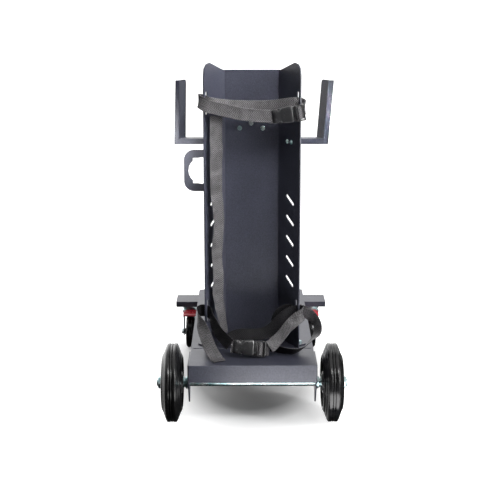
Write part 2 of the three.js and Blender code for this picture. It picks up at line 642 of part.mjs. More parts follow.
// The loose end of the upper strap hangs down inside the left wall.
const UPPER_TAIL = [
  [-90, -214, 780, [1, 0.12, 0]], [-90.5, -213.5, 762, [1, 0.12, 0]],
  [-91, -212, 725, [1, 0.15, 0.05]], [-90, -214.5, 690, [1, 0.2, 0]],
  [-91.5, -210, 655, [1, 0.25, -0.04]], [-91, -212, 615, [1, 0.3, 0]],
  [-91, -208, 580, [0.95, 0.38, 0.05]], [-87.5, -209, 548, [0.85, 0.5, 0]],
  [-85.5, -203, 505, [0.78, 0.62, -0.04]], [-88, -207.5, 465, [0.82, 0.57, 0]],
  [-90.5, -203, 432, [0.86, 0.5, 0]], [-90, -201, 398, [0.78, 0.62, 0.03]],
  [-87, -206, 358, [0.82, 0.57, 0]], [-89, -202, 325, [0.86, 0.5, 0]],
  [-85.5, -201, 288, [0.74, 0.67, 0]], [-80.5, -200, 258, [0.64, 0.77, 0]],
  [-76, -199, 232, [0.55, 0.83, 0]], [-72, -199, 205, [0.5, 0.86, 0]],
];

// The lower strap, left: from the socket up to the left slot, out, and down over the wall's edge
// onto the platform.
const LOWER_LEFT = [
  [-56.5, -283.8, 203, [0.02, 0.42, 1]], [-69, -272, 212, [0, 0.35, 1]],
  [-86, -254, 225, [0.05, 0.2, 1]], [-98.5, -235, 243.5, [0.1, 0.1, 1]],
  [-104.8, -222, 254.5, [0.05, 0, 1]], [-108.6, -212.8, 262, [0.02, 0, 1]],
  [-112.2, -207.6, 265.6, UP], [-116.8, -205, 267.8, UP], [-121.6, -202.4, 269.2, UP],
  [-132, -201.5, 269.6, UP], [-141, -207, 266.5, [-0.08, -0.3, 1]],
  [-141.5, -218, 258.5, [0.1, -0.7, 0.75]], [-136.5, -229.5, 248.5, [0.5, -0.6, 0.6]],
  [-129, -243, 236, [0.8, -0.38, 0.42]], [-121, -260, 222, [0.91, -0.17, 0.36]],
  [-113, -277, 207, [0.93, 0, 0.33]], [-104, -293, 191.5, [0.93, 0.1, 0.28]],
  [-95, -305, 180.5, [0.97, 0.15, 0.12]], [-88, -313, 174, [1, 0.25, 0]],
  [-83, -323, 172.2, [1, 0.3, 0]],
];

// The lower strap, right: from the ladder up round the right wall, in through its slot, and back
// across behind the buckle.
const LOWER_RIGHT = [
  [43.5, -285.5, 197.8, [0, 0.42, 0.9]], [49.5, -282.4, 201, [-0.07, 0.55, 0.87]],
  [56, -276.5, 206, [-0.15, 0.75, 0.75]], [65, -267.5, 212.5, [-0.22, 0.9, 0.6]],
  [75, -257, 220, [-0.28, 1, 0.5]], [91, -239, 234, [-0.3, 0.95, 0.5]],
  [108, -226, 247, [-0.33, 0.55, 0.75]], [122, -221.5, 257.5, [-0.3, 0.1, 1]],
  [131, -216, 263, [-0.2, 0, 1]], [131, -207, 266.3, [-0.05, 0, 1]], [124, -204.1, 268.2, UP],
  [116.8, -205.7, 268.6, UP], [111, -208.5, 268.2, UP], [101, -209.5, 266, [-0.2, 0.1, 1]],
  [90, -212, 259, [-0.4, 0.2, 0.9]], [75, -216, 246, [-0.5, 0.3, 0.8]],
  [58, -218, 230, [-0.5, 0.3, 0.8]], [44, -220, 219, [-0.2, 0.4, 0.85]],
  [28, -222, 213, [0, 0.5, 0.87]], [3, -222, 210, [0, 0.5, 0.87]],
  [-31, -222, 210, [0, 0.5, 0.87]], [-46, -223, 206, [0.1, 0.5, 0.87]],
  [-64, -228, 196, [0.2, 0.5, 0.87]],
];

// The free end of the lower strap: out through the right slot, round in a wide loop outside the
// column and back along the platform.
const LOWER_LOOP = [
  [46, -212, 199, [-0.4, 0, 0.9]], [58, -209.5, 208, [-0.5, 0, 0.87]],
  [71, -208, 219, [-0.5, 0, 0.87]], [81.5, -206.8, 233, [-0.5, 0, 0.87]],
  [90, -205.4, 245, [-0.45, 0, 0.9]], [97.5, -204.4, 255, [-0.36, 0, 0.9]],
  [104.2, -203.8, 262, [-0.24, 0, 0.95]], [110.5, -203.9, 266, [-0.14, 0, 1]],
  [114.8, -201.7, 267.6, [-0.06, 0, 1]], [119.4, -199.8, 268.5, UP], [128, -200, 268.3, UP],
  [138, -203, 265.5, [0.1, -0.1, 1]], [149.5, -206, 259.5, [0.3, -0.2, 0.93]],
  [161, -211, 250.5, [0.42, -0.4, 0.8]], [168, -217, 242, [0.5, -0.6, 0.6]],
  [171, -225, 229, [0.55, -0.8, 0.1]], [168.5, -233, 216.5, [0.45, -0.85, 0.1]],
  [150, -250, 200, [0.3, -0.8, 0.45]], [128, -268, 187, [0.25, -0.78, 0.58]],
  [106, -277, 182.5, [0.1, -0.72, 0.67]], [88, -274, 183.3, [0, -0.68, 0.72]],
  [71, -267, 184.5, [0, -0.6, 0.8]], [56, -259, 186, [0, -0.5, 0.86]],
  [44, -252, 187.5, [0, -0.4, 0.9]],
];

// The end beyond the slot turns down in an arch inside the right wall.
const LOWER_ARCH = [
  [104, -198.5, 268.2, UP], [97, -198, 268.9, UP], [88.5, -197.8, 268, [-0.1, 0, 1]],
  [80, -198.1, 264.5, [-0.4, 0, 0.92]], [73.5, -198.7, 258.5, [-0.7, 0, 0.7]],
  [68.5, -199.4, 250, [-0.87, 0, 0.5]], [65.5, -200.2, 239, [-0.97, 0, 0.25]],
  [64.5, -201, 226, [-1, 0, 0.08]], [64.5, -202, 212, [-1, 0, 0]],
];

// ---- side-release buckles, built flat in XZ with the socket at the left and its face to -Y ----
const BUCKLE = { half: 20.5, thick: 12, socket: 52, ladder: 31 };

function socketSolid() {
  const { half, thick, socket } = BUCKLE;
  const frame = frameOf([0, thick / 2, 0], [1, 0, 0], [0, 0, 1]);
  const shell = plate(roundedRectangle(-socket, 0, -half, half, 6), thick, frame);
  const pocket = block(
    [-socket + 14, 5], [-thick / 2 + 2, thick / 2 - 2], [-half + 3.5, half - 3.5]);
  const windows = block(
    [-socket + 14, -14], [-thick / 2 + 3, thick / 2 - 3], [-half - 5, half + 5]);
  const bar = block([-socket + 3, -socket + 8], [-thick, thick], [-half + 4, half - 4]);
  return cut(shell, pocket, windows, bar);
}

function ladderSolid() {
  const { half, thick, ladder } = BUCKLE;
  const thin = 7;
  const frame = frameOf([0, thin / 2, 0], [1, 0, 0], [0, 0, 1]);
  const body = plate(roundedRectangle(GAP, ladder, -half, half, 5), thin, frame);
  const bars = [[9, 14], [19, 25]].map((range) =>
    block(range, [-thin, thin], [-half + 4, half - 4]));
  const depth = thick / 2 - 2 - GAP;
  const prongs = SIDES.map(([, side]) => {
    const edges = [side * (half - 4.5), side * (half - 10.5)].sort((a, b) => a - b);
    return block([-BUCKLE.socket + 16, GAP + 1], [-depth + 1, depth - 1], edges);
  });
  const guide = block([-22, GAP + 1], [-depth + 1, depth - 1], [-2.5, 2.5]);
  return cut(union(body, ...prongs, guide), ...bars);
}

// The buckle's placing: its joint line, a turn about Z, a roll about Y and a lean about X.
function placeBuckle(group, { x, y, z, turn, lean, roll }) {
  group.position.set(x, y, z);
  group.rotation.set(lean, roll, turn, "ZYX");
  return group;
}

const UPPER_BUCKLE = { x: 101, y: -229.5, z: 787, turn: 0.06, lean: 0, roll: -0.14 };
const LOWER_BUCKLE = { x: 3, y: -287, z: 195, turn: 0.02, lean: -0.42, roll: 0.1 };

function buildStraps() {
  piece(cart, "upper_webbing", ribbonSolid(UPPER_BAND, 58), WEAVE);
  piece(cart, "upper_webbing_tail", ribbonSolid(UPPER_TAIL, 36), WEAVE);
  piece(cart, "lower_webbing_left", ribbonSolid(LOWER_LEFT, 38), WEAVE);
  piece(cart, "lower_webbing_right", ribbonSolid(LOWER_RIGHT, 46), WEAVE);
  piece(cart, "lower_webbing_loop", ribbonSolid(LOWER_LOOP, 46), WEAVE);
  piece(cart, "lower_webbing_arch", ribbonSolid(LOWER_ARCH, 18), WEAVE);
  for (const [name, placing] of [["upper", UPPER_BUCKLE], ["lower", LOWER_BUCKLE]]) {
    const buckle = placeBuckle(new THREE.Group(), placing);
    cart.add(buckle);
    piece(buckle, `${name}_buckle_socket`, socketSolid(), BUCKLE_PLASTIC);
    piece(buckle, `${name}_buckle_ladder`, ladderSolid(), BUCKLE_PLASTIC);
  }
}

// ---- frame ----
function buildFrame() {
  piece(cart, "bottle_platform", platformSolid(), POWDER_COAT);
  piece(cart, "chassis", chassisSolid(), POWDER_COAT);
  piece(cart, "front_crossbar", crossbarSolid(), POWDER_COAT);
  piece(cart, "column", columnSolid(), POWDER_COAT);
  piece(cart, "torch_holder", torchHolderSolid(), POWDER_COAT);
  piece(cart, "pull_handle", pullHandleSolid(), POWDER_COAT);
  for (const [name, side] of SIDES) {
    piece(cart, `cable_hook_${name}`, hookSolid(name, side), POWDER_COAT);
    HOOK_BOLTS_S.forEach((s, i) => {
      const bolt = boltSolid(3, 6, 2 * SHEET + GAP, 5.5);
      const inward = wallNormal(side).map((c) => -c);
      const place = onWall(side, s, 0, HOOK_BOLT_Z);
      piece(cart, `hook_bolt_${name}_${i + 1}`, facing(bolt, inward, place), ZINC);
    });
    const foot = facing(boltSolid(4, 8, 2 * SHEET + GAP, 7), [0, 0, 1],
      [side * FOOT_BOLT.x, FOOT_BOLT.y, DECK_Z + GAP + SHEET]);
    piece(cart, `foot_bolt_${name}`, foot, ZINC);
  }
  HANDLE_BOLTS.forEach(([x, z], i) => {
    const bolt = boltSolid(4, 6.8, 2 * SHEET + GAP, 8.5);
    piece(cart, `handle_bolt_${i + 1}`, facing(bolt, [0, -1, 0], [x, BACK_Y, z]), ZINC);
  });
}

buildFrame();
buildRearAxle();
buildRearWheels();
buildCasters();
buildStraps();

export default cart;
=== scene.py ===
import json
import math

import bmesh
import bpy
from mathutils import Matrix, Vector


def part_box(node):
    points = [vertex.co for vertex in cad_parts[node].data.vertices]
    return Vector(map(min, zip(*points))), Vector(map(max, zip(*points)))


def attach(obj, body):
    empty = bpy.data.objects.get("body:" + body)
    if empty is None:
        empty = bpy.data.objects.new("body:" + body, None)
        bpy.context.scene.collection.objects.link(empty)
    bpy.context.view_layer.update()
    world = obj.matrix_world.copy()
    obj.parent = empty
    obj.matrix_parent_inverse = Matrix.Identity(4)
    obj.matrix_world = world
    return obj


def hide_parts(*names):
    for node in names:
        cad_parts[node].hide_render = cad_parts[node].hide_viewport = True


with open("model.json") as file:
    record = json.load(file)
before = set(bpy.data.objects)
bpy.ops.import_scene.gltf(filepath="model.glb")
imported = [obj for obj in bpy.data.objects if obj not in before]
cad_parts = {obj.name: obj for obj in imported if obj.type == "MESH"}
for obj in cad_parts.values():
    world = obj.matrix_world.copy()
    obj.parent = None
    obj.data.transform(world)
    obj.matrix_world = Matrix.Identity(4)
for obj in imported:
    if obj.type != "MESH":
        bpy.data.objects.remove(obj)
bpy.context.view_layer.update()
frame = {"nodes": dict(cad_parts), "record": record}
BODY_OF = {n: b for b, members in frame["record"]["behaviour"]["bodies"].items() for n in members}
MM = 0.001
SIDES = (("left", -1), ("right", 1))


# ---- camera: behind the cart, on the bottles' side, looking slightly down ----
CAMERA_AT = (-0.0211, -2.955, 1.106)
CAMERA_PITCH = 0.2038
CAMERA_YAW = 0.0057
CAMERA_LENS = 79.06
CAMERA_SHIFT_Y = -0.08


def make_camera():
    data = bpy.data.cameras.new("camera")
    data.sensor_width = 36
    data.lens = CAMERA_LENS
    data.shift_y = CAMERA_SHIFT_Y
    data.clip_end = 1000
    camera = bpy.data.objects.new("camera", data)
    camera.location = CAMERA_AT
    camera.rotation_euler = (math.pi / 2 - CAMERA_PITCH, 0, -CAMERA_YAW)
    bpy.context.scene.collection.objects.link(camera)
    bpy.context.scene.camera = camera


make_camera()


# ---- materials ----
class Tree:
    """A node tree with a short call for adding a node and its links."""

    def __init__(self, tree):
        self.tree = tree

    def add(self, kind, inputs=(), **settings):
        node = self.tree.nodes.new("ShaderNode" + kind)
        for key, value in settings.items():
            setattr(node, key, value)
        for key, value in dict(inputs).items():
            self.put(node.inputs[key], value)
        return node

    def put(self, socket, value):
        if isinstance(value, bpy.types.NodeSocket):
            self.tree.links.new(value, socket)
        else:
            socket.default_value = value


class Nodes(Tree):
    """A material's node tree, with short calls for the nodes that these finishes use."""

    def __init__(self, name):
        self.material = bpy.data.materials.new(name)
        self.material.use_nodes = True
        super().__init__(self.material.node_tree)
        self.shader = self.tree.nodes["Principled BSDF"]
        self.place = self.add("TexCoord").outputs["Object"]

    def surface(self, **values):
        for key, value in values.items():
            self.put(self.shader.inputs[key.replace("_", " ")], value)

    def noise(self, scale, detail=2.0, roughness=0.5, stretch=None):
        place = self.place
        if stretch:
            place = self.add("Mapping", {"Vector": place, "Scale": stretch}).outputs[0]
        values = {"Vector": place, "Scale": scale, "Detail": detail, "Roughness": roughness}
        return self.add("TexNoise", values).outputs["Fac"]

    def cells(self, scale):
        return self.add("TexVoronoi", {"Vector": self.place, "Scale": scale}).outputs["Distance"]

    def ramp(self, value, low, high, out_low=0.0, out_high=1.0):
        values = {"Value": value, "From Min": low, "From Max": high, "To Min": out_low, "To Max": out_high}
        return self.add("MapRange", values).outputs["Result"]

    def blend(self, factor, first, second):
        # a Mix node keeps its colours on sockets 6 and 7, and their result on socket 2
        return self.add("Mix", {0: factor, 6: first, 7: second}, data_type="RGBA").outputs[2]

    def maths(self, operation, *values):
        return self.add("Math", enumerate(values), operation=operation).outputs[0]

    def varied(self, scale, detail, low, high, out_low=0.0, out_high=1.0):
        """Noise of one scale, spread from out_low to out_high between two of its levels."""
        return self.ramp(self.noise(scale, detail), low, high, out_low, out_high)

    def wave(self, place, pitch):
        """Even ridges across a place, from 0 in the grooves to 1 on the ridges."""
        return self.ramp(self.maths("SINE", self.maths("MULTIPLY", place, 2 * math.pi / pitch)), -1.0, 1.0)

    def mixture(self, *shares):
        """The sum of some values, each with its weight."""
        total = None
        for value, weight in shares:
            part = self.maths("MULTIPLY", value, weight)
            total = part if total is None else self.maths("ADD", total, part)
        return total

    def bump(self, height, strength, distance, under=None):
        values = {"Height": height, "Strength": strength, "Distance": distance}
        if under is not None:
            values["Normal"] = under
        return self.add("Bump", values).outputs["Normal"]


def rgb(r, g, b):
    return (r, g, b, 1.0)


def powder_coat(name, low, high, rough, fleck):
    """Textured powder coat: a fine grain over a slower change of tone, with lighter flecks."""
    n = Nodes(name)
    grain = n.noise(1100, 3)
    mottle = n.noise(330, 3, 0.7)
    broad = n.noise(9, 3)
    tone = n.mixture((grain, 0.35), (broad, 0.2), (mottle, 0.45))
    colour = n.blend(n.ramp(tone, 0.36, 0.64), low, high)
    peaks = n.ramp(n.cells(1100), 0.0, 0.22, fleck, 0.0)
    colour = n.blend(peaks, colour, rgb(0.30, 0.30, 0.33))
    bump = n.bump(n.noise(420, 2), 0.35, 0.00012)
    bump = n.bump(grain, 0.55, 0.00010, bump)
    n.surface(Base_Color=colour, Normal=bump)
    n.surface(Roughness=n.varied(60, 3, 0.3, 0.7, rough - 0.01, rough + 0.03))
    n.surface(Specular_IOR_Level=0.5)
    return n.material


def zinc_plate():
    """Passivated zinc: bright metal with cloudy blue-green bands and a slight brushed grain."""
    n = Nodes("zinc_plate")
    cloud = n.noise(38, 4, 0.6)
    brushed = n.noise(240, 2, 0.5, stretch=(1.0, 1.0, 9.0))
    colour = n.blend(n.ramp(cloud, 0.36, 0.66), rgb(0.26, 0.47, 0.50), rgb(0.74, 0.78, 0.78))
    colour = n.blend(n.varied(90, 3, 0.62, 0.78), colour, rgb(0.72, 0.66, 0.55))
    n.surface(Base_Color=colour, Metallic=1.0)
    n.surface(Roughness=n.ramp(brushed, 0.3, 0.7, 0.22, 0.38))
    n.surface(Normal=n.bump(brushed, 0.18, 0.00005))
    return n.material


def rubber():
    n = Nodes("tyre_rubber")
    dust = n.ramp(n.noise(55, 4, 0.65), 0.5, 0.78)
    colour = n.blend(dust, rgb(0.0045, 0.0045, 0.005), rgb(0.015, 0.0145, 0.0145))
    skin = n.noise(700, 3)
    n.surface(Base_Color=colour, Specular_IOR_Level=0.42)
    n.surface(Roughness=n.varied(30, 3, 0.3, 0.7, 0.16, 0.26))
    n.surface(Normal=n.bump(skin, 0.25, 0.00008))
    return n.material


def black_steel():
    n = Nodes("black_steel")
    colour = n.blend(n.varied(40, 3, 0.35, 0.7), rgb(0.010, 0.010, 0.011), rgb(0.020, 0.020, 0.022))
    n.surface(Base_Color=colour, Roughness=n.varied(120, 2, 0.3, 0.7, 0.24, 0.34))
    n.surface(Normal=n.bump(n.noise(300, 2), 0.2, 0.0001))
    n.surface(Coat_Weight=0.3, Coat_Roughness=0.15)
    return n.material


def hub_plastic():
    n = Nodes("hub_plastic")
    colour = n.blend(n.varied(70, 3, 0.4, 0.7), rgb(0.030, 0.031, 0.034), rgb(0.048, 0.049, 0.053))
    n.surface(Base_Color=colour, Roughness=n.varied(160, 2, 0.3, 0.7, 0.38, 0.5))
    n.surface(Normal=n.bump(n.noise(900, 2), 0.3, 0.00006))
    return n.material


def red_paint():
    n = Nodes("red_paint")
    colour = n.blend(n.varied(60, 3, 0.35, 0.7), rgb(0.36, 0.010, 0.022), rgb(0.50, 0.018, 0.032))
    n.surface(Base_Color=colour, Roughness=n.varied(90, 2, 0.3, 0.7, 0.26, 0.38))
    n.surface(Normal=n.bump(n.noise(500, 2), 0.25, 0.00008))
    n.surface(Coat_Weight=0.4, Coat_Roughness=0.12)
    return n.material


def buckle_plastic():
    n = Nodes("buckle_plastic")
    colour = n.blend(n.varied(90, 3, 0.35, 0.7), rgb(0.010, 0.010, 0.011), rgb(0.015, 0.015, 0.016))
    n.surface(Base_Color=colour, Roughness=n.varied(260, 2, 0.3, 0.7, 0.27, 0.33))
    n.surface(Normal=n.bump(n.noise(1500, 2), 0.2, 0.00004))
    n.surface(Coat_Weight=0.25, Coat_Roughness=0.2)
    return n.material


# the weave of the webbing, in metres
RIB_PITCH, RIB_WOBBLE, PICK_PITCH = 0.0054, 0.0011, 0.0011
CHEVRON_WIDTH, CHEVRON_SLOPE = 0.008, 1.2


def webbing_weave(name, light, specular, sheen):
    """Twill webbing: slanting ribs that meet in chevrons, over the fine picks of the weft."""
    n = Nodes(name)
    chart = n.add("UVMap", uv_map="weave").outputs["UV"]
    split = n.add("SeparateXYZ", {"Vector": chart})
    along, across = split.outputs["X"], split.outputs["Y"]
    fold = n.maths("PINGPONG", across, CHEVRON_WIDTH)
    slant = n.mixture((along, 1.0), (fold, CHEVRON_SLOPE), (n.noise(260, 2), RIB_WOBBLE))
    ribs = n.wave(slant, RIB_PITCH)
    picks = n.wave(across, PICK_PITCH)
    threads = n.mixture((ribs, 0.7), (picks, 0.3))
    worn = n.ramp(n.mixture((n.noise(150, 3), 0.5), (n.noise(48, 3), 0.5)), 0.32, 0.68)
    tone = n.mixture((threads, 0.78), (worn, 0.26))
    # the colour runs from near black in the grooves to light on the ridges, a painted shade between the
    # threads; the worn noise varies the tone at random
    colour = n.blend(n.ramp(tone, 0.28, 0.98), rgb(0.002, 0.002, 0.003), light)
    fuzz = n.bump(n.noise(2400, 2), 0.35, 0.00010)
    n.surface(Base_Color=colour, Roughness=n.ramp(threads, 0.0, 1.0, 0.7, 0.36))
    n.surface(Normal=n.bump(threads, 0.85, 0.00035, fuzz))
    n.surface(Specular_IOR_Level=specular)
    n.surface(Sheen_Weight=sheen, Sheen_Roughness=0.45, Sheen_Tint=rgb(0.75, 0.74, 0.78))
    return n.material


COAT = powder_coat("powder_coat", rgb(0.018, 0.0188, 0.0285), rgb(0.056, 0.059, 0.081), 0.36, 0.25)
# a lighter coat for the rounded edges: partly edge wear, partly a painted highlight along every edge
COAT_EDGE = powder_coat("powder_coat_edge", rgb(0.06, 0.062, 0.08), rgb(0.13, 0.132, 0.155), 0.28, 0.3)
ZINC = zinc_plate()
RUBBER = rubber()
BLACK_STEEL = black_steel()
HUB = hub_plastic()
RED = red_paint()
BUCKLE = buckle_plastic()
WEAVE = webbing_weave("webbing", rgb(0.165, 0.157, 0.164), 0.5, 0.1)
# a darker copy of the webbing for the strap faces turned from the light: painted shade
WEAVE_PAINTED_SHADE = webbing_weave("webbing_back", rgb(0.022, 0.021, 0.023), 0.12, 0.015)


# ---- mesh helpers ----
def new_piece(name, mesh, slot, body, materials, *replaced):
    piece = bpy.data.objects.new(name, mesh)
    bpy.context.scene.collection.objects.link(piece)
    for material in materials:
        piece.data.materials.append(material)
    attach(piece, body)
    if replaced:
        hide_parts(*replaced)
    return piece


def mesh_of(bm, name, smooth_deg=35.0):
    bmesh.ops.recalc_face_normals(bm, faces=bm.faces[:])
    for face in bm.faces:
        face.smooth = True
    limit = math.radians(smooth_deg)
    for edge in bm.edges:
        edge.smooth = len(edge.link_faces) == 2 and edge.calc_face_angle(0.0) < limit
    mesh = bpy.data.meshes.new(name)
    bm.to_mesh(mesh)
    bm.free()
    return mesh


def stand_in(node, slot, material, draw, smooth_deg=35.0):
    """A piece drawn by draw(bm), in place of its CAD node."""
    bm = bmesh.new()
    draw(bm)
    new_piece(node + "_detail", mesh_of(bm, node, smooth_deg), slot, BODY_OF[node], [material], node)


# how near two corners are one, how flat a fold is no edge, and how sharp an edge is rounded over
WELD = 0.02 * MM
FLAT_ANGLE, SHARP_ANGLE = math.radians(0.6), math.radians(28)


def dressed(node, slot, materials, bevel):
    """A copy of a CAD node with its sharp edges rounded over, in its place."""
    source = frame["nodes"][node]
    bm = bmesh.new()
    bm.from_mesh(source.data)
    bmesh.ops.remove_doubles(bm, verts=bm.verts[:], dist=WELD)
    bmesh.ops.dissolve_limit(bm, angle_limit=FLAT_ANGLE, verts=bm.verts[:], edges=bm.edges[:])
    for face in bm.faces:
        face.material_index = 0
    mesh = mesh_of(bm, node + "_rounded")
    mesh.materials.clear()
    piece = new_piece(node + "_finish", mesh, slot, BODY_OF[node], materials, node)
    modifier = piece.modifiers.new("rounding", "BEVEL")
    modifier.width = bevel
    modifier.segments = 2
    modifier.limit_method = "ANGLE"
    modifier.angle_limit = SHARP_ANGLE
    modifier.harden_normals = True
    modifier.material = len(materials) - 1
    settle(piece)


def settle(piece):
    """Applies the modifiers of a piece."""
    depsgraph = bpy.context.evaluated_depsgraph_get()
    evaluated = bpy.data.meshes.new_from_object(piece.evaluated_get(depsgraph), depsgraph=depsgraph)
    piece.modifiers.clear()
    piece.data = evaluated


def turned_ring(bm, centre, axis, along, radius_at, steps):
    """Corners round an axis, at radius_at(angle); a radius of nothing gives one corner."""
    axis = Vector(axis).normalized()
    first = axis.orthogonal().normalized()
    second = axis.cross(first)
    middle = Vector(centre) + axis * along
    if radius_at(0.0) <= 0.0:
        return [bm.verts.new(middle)]
    angles = [2 * math.pi * k / steps for k in range(steps)]
    return [bm.verts.new(middle + (first * math.cos(t) + second * math.sin(t)) * radius_at(t))
            for t in angles]


def join_rings(bm, a, b):
    """Faces between two rings of corners, where a ring of one corner is a tip."""
    count = max(len(a), len(b))
    faces = []
    for k in range(count):
        n = (k + 1) % count
        corners = list(dict.fromkeys([a[k % len(a)], a[n % len(a)], b[n % len(b)], b[k % len(b)]]))
        if len(corners) > 2:
            faces.append(bm.faces.new(corners))
    return faces


def lathe(bm, profile, centre, axis, steps):
    """Turns rows of (radius, distance along the axis) round the axis through centre."""
    closed = profile[0] == profile[-1]
    rows = profile[:-1] if closed else profile
    rings = [turned_ring(bm, centre, axis, along, lambda t, r=radius: r, steps)
             for radius, along in rows]
    following = rings[1:] + (rings[:1] if closed else [])
    for a, b in zip(rings, following):
        join_rings(bm, a, b)


def disc(bm, centre, axis, radius, low, high, steps):
    """A plain round bar or washer from low to high along the axis."""
    lathe(bm, [(0.0, low), (radius, low), (radius, high), (0.0, high)], centre, axis, steps)


def hexagon(bm, centre, axis, across, low, high, bore=0.0, turn=0.0):
    """A hexagon nut or bolt head from low to high along the axis, with its corners turned off.

    Each level's limit is the share of the half width across flats that its corners may reach.
    """
    steps = 48
    flat = across / 2
    chamfer = 0.11 * across
    levels = [(low, 0.93), (low + 0.3 * chamfer, 1.09), (low + 0.45 * chamfer, math.inf),
              (high - 0.45 * chamfer, math.inf), (high - 0.3 * chamfer, 1.09), (high, 0.93)]

    def radius_at(t, limit):
        side = (t + turn) % (math.pi / 3) - math.pi / 6
        return min(flat / math.cos(side), limit * flat)

    rings = [turned_ring(bm, centre, axis, along, lambda t, c=limit: radius_at(t, c), steps)
             for along, limit in levels]
    rings += [turned_ring(bm, centre, axis, along, lambda t: bore, steps) for along in (high, low)]
    # without a bore the ends are single corners, and nothing joins those two
    for a, b in zip(rings, rings[1:] + rings[:1]):
        join_rings(bm, a, b)


def thread(bm, centre, axis, radius, low, high, pitch, steps=32):
    """A bolt's threaded end, with its ridges as rings and a chamfered tip at high."""
    profile = [(0.0, low), (radius * 0.93, low)]
    count = max(1, round((high - low - 0.6 * pitch) / pitch))
    for k in range(count):
        start = low + k * pitch
        profile += [(radius * 0.90, start + 0.05 * pitch), (radius, start + 0.45 * pitch),
                    (radius, start + 0.6 * pitch), (radius * 0.90, start + pitch)]
    profile += [(radius * 0.84, high), (0.0, high)]
    lathe(bm, profile, centre, axis, steps)


# ---- sheet metal: how far the edges of each CAD node are rounded, in mm ----
SHEET_NODES = {
    "bottle_platform": 0.9, "chassis": 0.9, "front_crossbar": 0.9, "column": 0.7,
    "torch_holder": 0.7, "pull_handle": 0.6, "cable_hook_left": 0.6, "cable_hook_right": 0.6,
    "axle_bracket_left": 0.7, "axle_bracket_right": 0.7,
}
CASTER_NODES = {"caster_plate": 0.8, "caster_fork": 0.6, "caster_kingpin": 0.5}
for node, rounding in SHEET_NODES.items():
    dressed(node, "powder_coat", [COAT, COAT_EDGE], rounding * MM)
for side, _ in SIDES:
    for kind, rounding in CASTER_NODES.items():
        dressed(f"{kind}_{side}", "zinc_plate", [ZINC], rounding * MM)


# ---- bolts, sizes in mm ----
HANDLE_BOLT = {"across": 10, "washer": 6.2, "shaft": 4, "head": 6.0, "nut": 6.6, "tail": 2.4, "pitch": 1.25}
HOOK_BOLT = {"across": 10, "washer": 6.0, "shaft": 3, "head": 4.4, "nut": 5.0, "tail": 1.6, "pitch": 1.0,
             "dome": 4.8}
FOOT_BOLT = {"across": 13, "washer": 8.0, "shaft": 4, "head": 5.6, "nut": 6.2, "tail": 1.4, "pitch": 1.25}
WASHER_THICK = 1.2 * MM
JOINT_GRIP = 6.3 * MM
PANEL_FACE_Y = -117.5
FOOT_FACE_Z = 173.3
# a flared wall leaves the panel at WALL_X; the hook bolts sit at these distances along it
WALL_X, WALL_TURN = 69.6, math.radians(27.3)
HOOK_BOLTS_ALONG, HOOK_BOLTS_Z = (47, 67), 708


def middle_of(node):
    low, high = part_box(node)
    return (low + high) / 2


def screw_and_nut(bm, start, axis, across, washer, shaft, head, nut, tail, pitch, dome=0.0):
    """A bolt through a joint, with a washer on each side, a nut and a threaded end.

    start is where the axis meets the joint's face under the head, and the axis points to the head,
    which is a hexagon, or round where a dome's radius is given.
    """
    below = -JOINT_GRIP - WASHER_THICK
    disc(bm, start, axis, washer, 0.0, WASHER_THICK, 40)
    if dome:
        rim = 1.8 * MM
        rows = [(0.0, WASHER_THICK), (dome, WASHER_THICK), (dome, rim)]
        rows += [(dome * math.cos(a), rim + (head - rim) * math.sin(a)) for a in (0.25, 0.6, 0.95, 1.25)]
        lathe(bm, rows + [(0.0, head)], start, axis, 40)
    else:
        hexagon(bm, start, axis, across, WASHER_THICK, head)
    disc(bm, start, axis, shaft, -JOINT_GRIP, 0.0, 24)
    disc(bm, start, axis, washer, below, -JOINT_GRIP, 40)
    hexagon(bm, start, axis, across, -JOINT_GRIP - nut, below, turn=0.4)
    thread(bm, start, -axis, shaft, JOINT_GRIP + nut - 0.5 * MM, JOINT_GRIP + nut + tail, pitch)


def bolt_piece(node, start, axis, sizes):
    sizes = {part: size * MM for part, size in sizes.items()}
    stand_in(node, "zinc_plate", ZINC, lambda bm: screw_and_nut(bm, Vector(start), Vector(axis), **sizes))


def fasteners():
    for number in (1, 2, 3):
        node = f"handle_bolt_{number}"
        centre = middle_of(node)
        bolt_piece(node, (centre.x, PANEL_FACE_Y * MM, centre.z), (0, -1, 0), HANDLE_BOLT)
    for name, side in SIDES:
        inward = (-side * math.cos(WALL_TURN), -math.sin(WALL_TURN), 0)
        for number, along in enumerate(HOOK_BOLTS_ALONG, 1):
            x = side * (WALL_X + math.sin(WALL_TURN) * along)
            y = PANEL_FACE_Y - math.cos(WALL_TURN) * along
            bolt_piece(f"hook_bolt_{name}_{number}", Vector((x, y, HOOK_BOLTS_Z)) * MM, inward, HOOK_BOLT)
        node = f"foot_bolt_{name}"
        centre = middle_of(node)
        bolt_piece(node, (centre.x, centre.y, FOOT_FACE_Z * MM), (0, 0, 1), FOOT_BOLT)


fasteners()


# ---- rear axle, nuts and wheels ----
AXLE_Y, AXLE_Z, AXLE_RADIUS = -277.5 * MM, 100 * MM, 9.5 * MM
WHEEL_X = 205 * MM
X_AXIS = Vector((1, 0, 0))


def in_metres(rows):
    return [(radius * MM, along * MM) for radius, along in rows]


def mirrored(rows):
    """A closed profile from its half, which runs from the middle outwards."""
    whole = [(r, -a) for r, a in reversed(rows[1:])] + rows
    return in_metres(whole + whole[:1])


def plate_profile(rows):
    """A closed profile from its half, which runs from the bore outwards and ends on the middle."""
    return in_metres(rows + [(r, -a) for r, a in reversed(rows[:-1])] + rows[:1])


